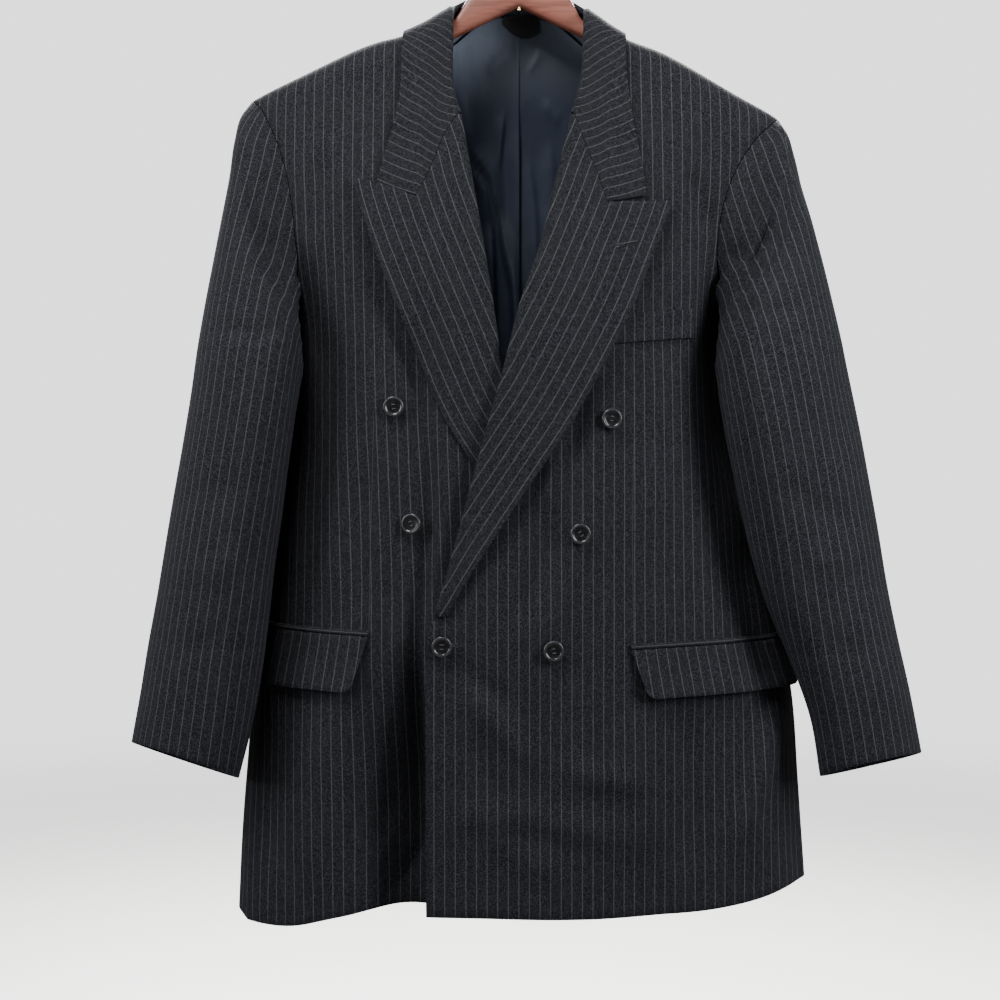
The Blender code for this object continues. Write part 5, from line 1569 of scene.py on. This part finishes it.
def button_mesh():
    """One button with its four holes, cut once and shared by all."""
    profile = [(share * BUTTON_RADIUS, height) for share, height in BUTTON_OUTLINE]
    body = scratch_object("button_blank", *turned(profile, 64))
    cutters = []
    corners, faces = turned(HOLE_CUTTER, 20)
    for sx, sy in ((-1, -1), (-1, 1), (1, -1), (1, 1)):
        moved = [(x + sx * HOLE_PLACE, y + sy * HOLE_PLACE, z) for x, y, z in corners]
        cutter = scratch_object("button_hole", moved, faces)
        modifier = body.modifiers.new("hole", "BOOLEAN")
        modifier.operation = "DIFFERENCE"
        modifier.object = cutter
        cutters.append(cutter)
    graph = bpy.context.evaluated_depsgraph_get()
    mesh = bpy.data.meshes.new_from_object(body.evaluated_get(graph))
    for used in cutters + [body]:
        bpy.data.objects.remove(used, do_unlink=True)
    mesh.name = "button_turned"
    layer = mesh.uv_layers.new(name="weave")
    for loop in mesh.loops:
        spot = mesh.vertices[loop.vertex_index].co
        layer.data[loop.index].uv = (math.hypot(spot.x, spot.y), spot.z)
    mesh.shade_smooth()
    mesh.set_sharp_from_angle(angle=math.radians(38))
    mesh.materials.clear()
    mesh.materials.append(materials["horn"])
    return mesh


def tube_corners(path, radius, sides):
    """Corners and faces of a tube along a path."""
    path = np.asarray(path, float)
    ahead = np.roll(path, -1, axis=0) - np.roll(path, 1, axis=0)
    ahead[0], ahead[-1] = path[1] - path[0], path[-1] - path[-2]
    ahead = unit(ahead)
    one = np.cross(ahead, (0.0, 0.0, 1.0))
    weak = np.linalg.norm(one, axis=1) < 0.2
    one[weak] = np.cross(ahead[weak], (0, 1, 0))
    one = unit(one)
    other = np.cross(ahead, one)
    radius = np.broadcast_to(np.asarray(radius, float), len(path))
    around = (2 * math.pi * np.arange(sides) / sides)[:, None]
    turns = np.cos(around) * one[:, None] + np.sin(around) * other[:, None]
    corners = (path[:, None] + radius[:, None, None] * turns).reshape(-1, 3)
    return corners, [face[:1] + face[:0:-1] for face in loft_faces(len(path), sides)]


def joined_shapes(shapes):
    """Several (corners, faces) as one."""
    corners, faces, start = [], [], 0
    for points, polygons in shapes:
        corners.append(np.asarray(points, float))
        faces += [tuple(index + start for index in polygon) for polygon in polygons]
        start += len(points)
    return np.concatenate(corners), faces


def button_thread(depth):
    """Two stitches over the button and the wound shank behind it, in the button's own frame."""
    shapes = []
    along = np.linspace(-1, 1, 9)
    height = 2.75 + 0.45 * (1 - along**4) - 1.1 * along**8
    for sy in (-1, 1):
        for aside in THREAD_SPREAD:
            beside = np.full(len(along), sy * HOLE_PLACE + aside)
            path = np.column_stack([along * HOLE_PLACE, beside, height])
            shapes.append(tube_corners(path, 0.24, 6))
    turns = np.linspace(0, 2 * math.pi * SHANK_TURNS, 90)
    height = np.linspace(0.4, -depth, len(turns))
    wound = np.column_stack([1.25 * np.cos(turns), 1.25 * np.sin(turns), height])
    shapes.append(tube_corners(wound, 0.28, 6))
    shapes.append(turned(((0, -depth), (1.15, -depth), (1.15, 0.5), (0, 0.5)), 14))
    return joined_shapes(shapes)


def add_buttons():
    """The six buttons, each with its thread, on the fronts' faces."""
    mesh = button_mesh()
    for number, ((x, level, on_left), degrees) in enumerate(zip(BUTTONS, BUTTON_TURNS), start=1):
        spot, normal = front(np.array(float(x)), np.array(float(level)))
        lift = BUTTON_CLEARANCE + (float(overlap(x, level)) if on_left else 0.0)
        turn = Vector(normal).to_track_quat("Z", "Y").to_matrix().to_4x4()
        turn = turn @ Matrix.Rotation(math.radians(degrees), 4, "Z")
        place = Matrix.Translation(Vector((spot + normal * lift) * MM)) @ turn
        made = show(f"button_face_{number}", mesh.copy())
        made.data.transform(place)
        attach(made, "root")
        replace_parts(made, f"button_{number}")
        corners, faces = button_thread(BUTTON_CLEARANCE + 0.6)
        corners = np.array([place @ Vector(corner * MM) for corner in corners]) / MM
        mesh_piece(f"button_thread_{number}", corners, faces, ("thread",))


# --- stitched details -------------------------------------------------------------------------

STITCH_LENGTH, STITCH_PITCH = 1.5, 0.62
EYELET_STITCHES, EYELET_WIDER = 5, 1.25
SEAM_RADIUS, SEAM_STEPS = 0.28, 60


def on_face(surface, spots, rise):
    """Points over a piece's outer face at places of x and level, and the face's normals."""
    points, normals = (part.reshape(-1, 3) for part in surface)
    facing = normals[:, 1] < 0.3
    points, normals = points[facing], normals[facing]
    found, leans = [], []
    for x, level in spots:
        distance = np.hypot(points[:, 0] - x, points[:, 2] - level)
        nearest = np.argpartition(distance, 4)[:5]
        weight = 1 / (distance[nearest] ** 2 + 0.05)
        weight /= weight.sum()
        normal = unit((normals[nearest] * weight[:, None]).sum(axis=0))
        middle = (points[nearest] * weight[:, None]).sum(axis=0)
        beyond = (x - middle[0]) * normal[0] + (level - middle[2]) * normal[2]
        back = beyond / min(normal[1], -0.2)
        found.append((x, middle[1] - back, level) + normal * rise)
        leans.append(normal)
    return np.array(found), np.array(leans)


def buttonhole(name, surface, start, end):
    """A worked buttonhole: two close rows of stitches with an eyelet at its start."""
    start, end = np.asarray(start, float), np.asarray(end, float)
    along = unit(end - start)
    aside = np.array([-along[1], along[0]])
    length = np.linalg.norm(end - start)
    shapes = []
    steps = int(length / STITCH_PITCH)
    for side in (-1, 1):
        for step in range(steps + 1):
            spot = start + along * length * step / steps
            wide = STITCH_LENGTH * (EYELET_WIDER if step < EYELET_STITCHES else 1.0)
            ends = [spot + aside * side * reach for reach in (0.12, wide * 0.6, wide)]
            points, normals = on_face(surface, ends, 0.12)
            points = points + normals * np.array([[0.05], [0.30], [-0.15]])
            shapes.append(tube_corners(points, 0.30, 5))
    corners, faces = joined_shapes(shapes)
    mesh_piece(name, corners, faces, ("thread",))


def seam_line(name, surface, course):
    """A closed seam, shown as the narrow shadowed fold between its two edges."""
    share = spaced(SEAM_STEPS)
    points, _ = on_face(surface, line(course)(share), 0.02)
    ease = SEAM_RADIUS * np.sqrt(np.maximum(1 - (2 * share - 1) ** 8, 0.05))
    corners, faces = tube_corners(points, ease, 6)
    mesh_piece(name, corners, faces, ("seam",))


# --- hanger -----------------------------------------------------------------------------------


HOOK_STEPS = 170
COLLAR_PROFILE = ((0, 0.2), (4.6, 0.2), (4.9, 0.8), (4.6, 1.4), (3.2, 1.7), (2.4, 2.6), (0, 2.6))
# radius as a multiple of NUT_SHARE, height from the wood's underside
NUT_PROFILE = (
    (0, -3.6), (1.9, -3.5), (2.6, -3.0), (2.7, -1.5), (3.8, -1.2), (4.1, -0.6), (3.9, -0.1),
    (0, -0.1),
)
NUT_SHARE = 0.66


def soft_arm_outline(x):
    """arm_outline() eased along the arm, so that its bends are rounded."""
    near = [arm_outline(float(x + shift)) for shift in (-4.5, -3, -1.5, 0, 1.5, 3, 4.5)]
    weights = np.array([1, 2, 3, 4, 3, 2, 1]) / 16
    return (np.array(near) * weights[:, None]).sum(axis=0)


def hanger_pieces():
    """The wooden arms, the hook with its collar and the brass nut under the wood."""
    rings = []
    sides, steps = 36, 181
    around = 2 * math.pi * np.arange(sides) / sides
    size = round_size(np.sin(around), np.cos(around), ARM_ROUNDNESS)
    for x in np.linspace(-ARM_END, ARM_END, steps):
        top, bottom = soft_arm_outline(x)
        closing = math.sqrt(max(1 - (abs(x) / (ARM_END + 2)) ** 14, 0.0))
        middle, half = (top + bottom) / 2, (top - bottom) / 2 * closing
        y = ARM_THICKNESS / 2 * closing * size * np.cos(around)
        z = middle + half * size * np.sin(around)
        rings.append(np.column_stack([np.full(sides, x), y, z]))
    faces = loft_faces(steps, sides)
    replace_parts(mesh_piece("hanger_arms", np.concatenate(rings), faces, ("wood",)), "hanger_wood")

    radius = HOOK_RADIUS + WIRE_RADIUS
    turn = np.radians(np.linspace(HOOK_TURN[0], HOOK_TURN[1], 90))
    arc = np.column_stack([radius * np.cos(turn), -HOOK_RADIUS + radius * np.sin(turn)])
    foot = np.array([(x, CENTRE_TOP + rise) for x, rise in HOOK_FOOT])
    route = line(np.concatenate([foot, arc[::6]]))(spaced(HOOK_STEPS))
    path = np.column_stack([route[:, 0], np.zeros(len(route)), route[:, 1]])
    thick = np.full(len(route), WIRE_RADIUS)
    thick[-2:] = WIRE_RADIUS * 0.8, WIRE_RADIUS * 0.45
    corners, faces = tube_corners(path, thick, 20)
    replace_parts(mesh_piece("hook_wire", corners, faces, ("steel",)), "hanger_hook")

    corners, faces = turned([(r, CENTRE_TOP + z) for r, z in COLLAR_PROFILE], 40)
    mesh_piece("hook_collar", corners, faces, ("steel",))
    corners, faces = turned([(r * NUT_SHARE, CENTRE_BOTTOM + z) for r, z in NUT_PROFILE], 32)
    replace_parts(mesh_piece("nut_brass", corners, faces, ("brass",)), "hanger_nut")


# --- materials --------------------------------------------------------------------------------

materials = {}


class Shader:
    """A material's nodes, built by short calls."""

    def __init__(self, name):
        self.material = bpy.data.materials.new(name)
        self.material.use_nodes = True
        self.tree = self.material.node_tree
        self.surface = self.tree.nodes["Principled BSDF"]
        materials[name] = self.material

    def node(self, kind, **settings):
        made = self.tree.nodes.new(kind)
        for key, value in settings.items():
            setattr(made, key, value)
        return made

    def link(self, source, target):
        self.tree.links.new(source, target)

    def put(self, socket, value):
        if isinstance(value, bpy.types.NodeSocket):
            self.link(value, socket)
        else:
            socket.default_value = value

    def put_all(self, made, values):
        for socket, value in zip(made.inputs, values):
            self.put(socket, value)
        return made.outputs[0]

    def math(self, operation, *values):
        return self.put_all(self.node("ShaderNodeMath", operation=operation), values)

    def times(self, one, other):
        return self.math("MULTIPLY", one, other)

    def plus(self, one, other):
        return self.math("ADD", one, other)

    def minus(self, one, other):
        return self.math("SUBTRACT", one, other)

    def noise(self, vector, scale, detail, roughness=0.5):
        made = self.node("ShaderNodeTexNoise")
        self.put(made.inputs["Vector"], vector)
        made.inputs["Scale"].default_value = scale
        made.inputs["Detail"].default_value = detail
        made.inputs["Roughness"].default_value = roughness
        return made.outputs[0]

    def ramp(self, value, low, high, start=0.0, end=1.0, smooth_step=True):
        kind = "SMOOTHSTEP" if smooth_step else "LINEAR"
        made = self.node("ShaderNodeMapRange", interpolation_type=kind)
        return self.put_all(made, (value, low, high, start, end))

    def mix(self, factor, one, other):
        made = self.node("ShaderNodeMix", data_type="RGBA")
        self.put(made.inputs[0], factor)
        for socket, colour in zip((made.inputs[6], made.inputs[7]), (one, other)):
            self.put(socket, (*colour, 1.0) if isinstance(colour, tuple) else colour)
        return made.outputs[2]

    def weave(self):
        """Across and down the cloth, in millimetres."""
        place = self.node("ShaderNodeUVMap")
        place.uv_map = "weave"
        apart = self.node("ShaderNodeSeparateXYZ")
        self.link(place.outputs[0], apart.inputs[0])
        return self.times(apart.outputs[0], 1 / MM), self.times(apart.outputs[1], 1 / MM)

    def vector(self, x, y):
        return self.put_all(self.node("ShaderNodeCombineXYZ"), (x, y))

    def stretched(self, u, v, across, down):
        """A place in the weave, scaled each way."""
        return self.vector(self.times(u, across), self.times(v, down))

    def place(self, scale=(1, 1, 1)):
        """Object coordinates in millimetres."""
        found = self.node("ShaderNodeTexCoord")
        grown = self.node("ShaderNodeVectorMath", operation="MULTIPLY")
        self.link(found.outputs["Object"], grown.inputs[0])
        grown.inputs[1].default_value = tuple(part / MM for part in scale)
        return grown.outputs[0]

    def bump(self, height, depth, strength, before=None):
        made = self.node("ShaderNodeBump")
        made.inputs["Strength"].default_value = strength
        made.inputs["Distance"].default_value = depth * MM
        self.link(height, made.inputs["Height"])
        if before is not None:
            self.link(before, made.inputs["Normal"])
        return made.outputs[0]

    def finish(self, **sockets):
        for name, value in sockets.items():
            socket = self.surface.inputs[name.replace("_", " ")]
            self.put(socket, (*value, 1.0) if isinstance(value, tuple) else value)


FLOAT_SIZE = (0.85, 1.1)  # the cloth's flecks, across and down


def suiting_finish():
    """Fine wool with a pinstripe along the warp: heathered yarns, a twill line, some nap."""
    s = Shader("suiting")
    u, v = s.weave()
    turn = s.math("FRACT", s.plus(s.math("DIVIDE", u, STRIPE_PITCH), 0.5))
    wander = s.times(s.minus(s.noise(s.vector(0.0, v), 0.9, 1), 0.5), 0.22)
    away = s.math("ABSOLUTE", s.plus(s.times(s.minus(turn, 0.5), STRIPE_PITCH), wander))
    dots = s.ramp(s.noise(s.vector(s.times(u, 0.4), v), 1.1, 2, 0.7), 0.36, 0.60, 0.30, 1.0)
    stripe = s.times(s.ramp(away, 0.20, 0.64, 1.0, 0.0), dots)
    yarns = s.noise(s.stretched(u, v, 2.4, 0.55), 1.6, 3, 0.65)
    picks = s.noise(s.stretched(u, v, 0.5, 2.2), 1.5, 2, 0.6)
    cloudy = s.noise(s.vector(u, v), 0.03, 3, 0.5)
    grains = s.noise(s.vector(u, s.times(v, 0.85)), 0.98, 3, 0.8)
    heather = s.plus(s.times(yarns, 0.6), s.times(picks, 0.4))
    row = s.math("FLOOR", s.math("DIVIDE", v, FLOAT_SIZE[1]))
    column = s.math("FLOOR", s.plus(s.math("DIVIDE", u, FLOAT_SIZE[0]), s.times(row, 0.37)))
    floats = s.node("ShaderNodeTexWhiteNoise", noise_dimensions="2D")
    s.link(s.vector(column, row), floats.inputs["Vector"])
    fleck = floats.outputs["Value"]
    ground = s.mix(s.ramp(heather, 0.34, 0.66), (0.0003, 0.0003, 0.0004), (0.0009, 0.0009, 0.0012))
    for value, reach, colour in (
        (grains, (0.48, 0.66, 0.0, 0.9), (0.0036, 0.0038, 0.0045)),
        (grains, (0.34, 0.52, 0.9, 0.0), (0.0002, 0.0002, 0.0003)),
        (fleck, (0.45, 1.0, 0.0, 0.36), (0.0046, 0.0048, 0.0055)),
        (fleck, (0.0, 0.5, 0.40, 0.0), (0.0002, 0.0002, 0.0003)),
        (cloudy, (0.3, 0.7, 0.0, 0.22), (0.0015, 0.0016, 0.0018)),
    ):
        ground = s.mix(s.ramp(value, *reach), ground, colour)
    twill = s.math("SINE", s.times(s.plus(u, s.times(v, 0.7)), 9.0))
    s.finish(
        Base_Color=s.mix(s.times(stripe, 0.74), ground, (0.0076, 0.0078, 0.0083)),
        Roughness=s.ramp(heather, 0.3, 0.7, 0.78, 0.92, False),
        Sheen_Weight=0.001,
        Sheen_Roughness=0.45,
        Sheen_Tint=(0.80, 0.86, 1.0),
        Specular_IOR_Level=0.006,
        Normal=s.bump(s.plus(s.times(twill, 0.35), heather), 0.10, 0.55),
    )


def lining_finish():
    """Satin: a smooth warp face, fine crosswise ribs and soft pressed creases, with painted light
    that makes it lighter towards the neck.
    """
    s = Shader("lining")
    u, v = s.weave()
    ribs = s.noise(s.stretched(u, v, 0.25, 3.0), 1.4, 2, 0.5)
    slack = s.noise(s.vector(s.times(u, 1.6), v), 0.035, 2, 0.45)
    cloudy = s.noise(s.vector(u, v), 0.012, 2, 0.5)
    colour = s.mix(s.ramp(cloudy, 0.3, 0.7), (0.0021, 0.0028, 0.0047), (0.0031, 0.0041, 0.0065))
    colour = s.mix(s.ramp(ribs, 0.3, 0.7, 0.0, 0.25), colour, (0.0046, 0.0057, 0.0084))
    # Painted light: the colour grows lighter towards the neck, brightening the top that the hanger
    # and collar shade.
    painted_light_near_neck = s.ramp(v, -195, -122, 0.0, 0.85)
    colour = s.mix(painted_light_near_neck, colour, (0.0130, 0.0152, 0.0195))
    normal = s.bump(ribs, 0.05, 0.4)
    s.finish(
        Base_Color=colour,
        Roughness=s.ramp(ribs, 0.2, 0.8, 0.50, 0.62, False),
        Specular_IOR_Level=0.02,
        Normal=s.bump(slack, 2.0, 0.5, normal),
    )


def label_finish():
    """Woven ribbon, black, with a satin field and selvedges along its edges."""
    s = Shader("label")
    u, v = s.weave()
    wefts = s.math("SINE", s.times(v, 14.0))
    threads = s.noise(s.stretched(u, v, 3.0, 0.6), 1.2, 2, 0.6)
    colour = s.mix(s.ramp(threads, 0.3, 0.7), (0.0016, 0.0016, 0.0018), (0.0040, 0.0040, 0.0045))
    middle, half = sum(LABEL_ENDS) / 2, (LABEL_ENDS[1] - LABEL_ENDS[0]) / 2
    edge = s.ramp(s.math("ABSOLUTE", s.minus(u, middle)), half - 1.4, half - 0.6)
    s.finish(
        Base_Color=s.mix(s.times(edge, 0.6), colour, (0.007, 0.007, 0.008)),
        Roughness=0.75,
        Specular_IOR_Level=0.02,
        Normal=s.bump(s.plus(s.times(wefts, 0.3), threads), 0.07, 0.6),
    )


def horn_finish():
    """Polished dark horn: faint streaks, a lighter rim that is a painted highlight, and fine
    scratches.
    """
    s = Shader("horn")
    radius, _ = s.weave()
    streaks = s.noise(s.place((1.0, 1.0, 3.0)), 0.16, 5, 0.6)
    specks = s.noise(s.place(), 1.1, 3, 0.7)
    colour = s.mix(s.ramp(streaks, 0.42, 0.70), (0.0003, 0.0003, 0.0004), (0.0011, 0.0011, 0.0012))
    # Painted highlight: a lighter band round the rim, broken up by the specks, stands in for the
    # gleam on its edge.
    rim = s.ramp(radius, RIM_HIGHLIGHT_START * BUTTON_RADIUS, (RIM_HIGHLIGHT_START + 0.1) * BUTTON_RADIUS)
    painted_rim_highlight = s.times(rim, s.ramp(specks, 0.35, 0.60, 0.45, 1.0))
    colour = s.mix(painted_rim_highlight, colour, (0.0028, 0.0029, 0.0032))
    s.finish(
        Base_Color=colour,
        Roughness=s.ramp(specks, 0.3, 0.7, 0.20, 0.32, False),
        Specular_IOR_Level=0.035,
        Normal=s.bump(specks, 0.05, 0.25),
    )


def thread_finish(name, colour):
    """Twisted thread, its fibres a little lighter than its colour."""
    s = Shader(name)
    fibres = s.noise(s.place(), 2.6, 3, 0.7)
    light = tuple(part * 2.0 for part in colour)
    s.finish(
        Base_Color=s.mix(s.ramp(fibres, 0.35, 0.7), colour, light),
        Roughness=s.ramp(fibres, 0.3, 0.7, 0.62, 0.8, False),
        Specular_IOR_Level=0.06,
        Normal=s.bump(fibres, 0.12, 0.6),
    )


def wood_finish():
    """Stained beech under satin lacquer, its grain along the arms."""
    s = Shader("wood")
    grain = s.noise(s.place((0.05, 1.0, 1.0)), 0.55, 6, 0.6)
    pores = s.noise(s.place((0.12, 2.0, 2.0)), 1.5, 3, 0.7)
    broad = s.noise(s.place((0.02, 0.5, 0.5)), 0.12, 3, 0.5)
    colour = s.mix(s.ramp(grain, 0.35, 0.68), (0.0112, 0.0034, 0.0023), (0.0215, 0.0070, 0.0048))
    colour = s.mix(s.ramp(broad, 0.35, 0.65, 0.0, 0.55), colour, (0.0255, 0.0086, 0.0060))
    colour = s.mix(s.ramp(pores, 0.60, 0.72, 0.0, 0.5), colour, (0.0085, 0.0026, 0.0019))
    s.finish(
        Base_Color=colour,
        Roughness=s.ramp(pores, 0.3, 0.7, 0.36, 0.48, False),
        Specular_IOR_Level=0.06,
        Normal=s.bump(pores, 0.06, 0.4),
    )


def metal_finish(name, colour, roughness):
    """Plated metal with fine lines along it and duller worn spots."""
    s = Shader(name)
    wear = s.noise(s.place((1.0, 1.0, 0.6)), 0.9, 4, 0.6)
    lines = s.noise(s.place((5.0, 5.0, 0.5)), 1.2, 2, 0.5)
    dull = tuple(part * 0.6 for part in colour)
    s.finish(
        Base_Color=s.mix(s.ramp(wear, 0.45, 0.75, 0.0, 0.5), colour, dull),
        Metallic=1.0,
        Roughness=s.ramp(wear, 0.3, 0.7, roughness * 0.8, roughness * 1.5, False),
        Normal=s.bump(lines, 0.04, 0.25),
    )


def make_finishes():
    suiting_finish()
    lining_finish()
    label_finish()
    horn_finish()
    thread_finish("thread", (0.0016, 0.0016, 0.0020))
    thread_finish("seam", (0.0010, 0.0010, 0.0013))
    wood_finish()
    metal_finish("steel", (0.62, 0.62, 0.64), 0.2)
    metal_finish("brass", (0.78, 0.56, 0.24), 0.22)


# --- studio -----------------------------------------------------------------------------------

FLOOR_LEVEL = -1.62
FLOOR_REACH, FLOOR_STEPS = 6, 41  # metres each way, corners along each side
FLOOR_FADE = (2.6, 5.6)  # metres from the middle over which it fades out
CAMERA_PLACE = (-0.0186, -1.35, -0.583)
CAMERA_LENS, CAMERA_SENSOR = 49.7, 36.0
SKY_COLOUR, SKY_STRENGTH = (0.985, 0.990, 1.0, 1.0), 2.1
# name, place, what it is turned to, size, power, colour
LIGHTS = (
    ("key", (-0.5, -0.9, 1.1), (0.0, 0.0, -0.3), (0.7, 0.7), 415.0, (1.0, 0.985, 0.96)),
    ("left", (-1.25, -0.6, -0.1), (-0.2, 0.0, -0.5), (0.4, 1.0), 185.0, (0.96, 0.98, 1.0)),
    ("right", (1.2, -0.85, 0.0), (0.2, 0.0, -0.5), (0.4, 1.0), 330.0, (0.96, 0.98, 1.0)),
    ("behind_left", (0.55, 1.75, 1.1), (0.0, 0.0, -0.5), (0.8, 0.8), 450.0, (1.0, 0.99, 0.97)),
    ("behind_right", (-0.75, 1.75, 1.1), (0.0, 0.0, -0.6), (0.8, 0.8), 370.0, (0.97, 0.98, 1.0)),
)


def add_studio():
    """Camera, sky, lamps and a floor that fades out."""
    camera = bpy.data.cameras.new("camera")
    camera.lens, camera.sensor_width = CAMERA_LENS, CAMERA_SENSOR
    seen = show("camera", camera)
    seen.location = CAMERA_PLACE
    seen.rotation_euler = (math.radians(90), 0, 0)
    bpy.context.scene.camera = seen

    world = bpy.data.worlds.new("studio")
    world.use_nodes = True
    sky = world.node_tree.nodes["Background"]
    sky.inputs[0].default_value, sky.inputs[1].default_value = SKY_COLOUR, SKY_STRENGTH
    bpy.context.scene.world = world

    for name, place, target, size, power, colour in LIGHTS:
        lamp = bpy.data.lights.new(name, "AREA")
        lamp.shape, lamp.size, lamp.size_y = "RECTANGLE", *size
        lamp.energy, lamp.color = power, colour
        shown = show(name, lamp)
        shown.location = place
        aim = Vector(target) - Vector(place)
        shown.rotation_euler = aim.to_track_quat("-Z", "Y").to_euler()

    across = np.linspace(-FLOOR_REACH, FLOOR_REACH, FLOOR_STEPS)
    x, y = np.meshgrid(across, across)
    corners = np.column_stack([x.ravel(), y.ravel(), np.full(x.size, FLOOR_LEVEL)])
    mesh = bpy.data.meshes.new("floor")
    mesh.from_pydata(corners.tolist(), [], quads(FLOOR_STEPS, FLOOR_STEPS, 0, False).tolist())
    show("floor", mesh)
    s = Shader("floor")
    length = s.node("ShaderNodeVectorMath", operation="LENGTH")
    s.link(s.node("ShaderNodeTexCoord").outputs["Object"], length.inputs[0])
    fading = s.ramp(length.outputs["Value"], *FLOOR_FADE, 1.0, 0.0)
    s.finish(Base_Color=(0.30, 0.30, 0.29), Roughness=0.8, Alpha=fading)
    mesh.materials.append(s.material)


# --- all together -----------------------------------------------------------------------------


def main():
    """The garment from the body outwards, then its hanger and the studio."""
    make_finishes()
    faces = add_torso()
    lapels = {word: lapel_piece(side, word) for side, word in SIDES}
    collar_piece()
    for side, word in SIDES:
        sleeve_pieces(side, word)
        armhole_allowance(side, word)
        pocket_pieces(side, word)
    welt_piece()
    lining_piece()
    label_piece()
    add_buttons()
    buttonhole("buttonhole_lapel", lapels["left"], (88, -350), (108, -345.5))
    buttonhole("buttonhole_front", faces["front_left"], (-57, -716), (-79, -716))
    seam_line("dart_left", faces["front_left"], ((104, -531), (103, -620), (104, -722)))
    seam_line("dart_right", faces["front_right"], ((-135, -490), (-138, -600), (-140, -712)))
    hanger_pieces()
    add_studio()


main()
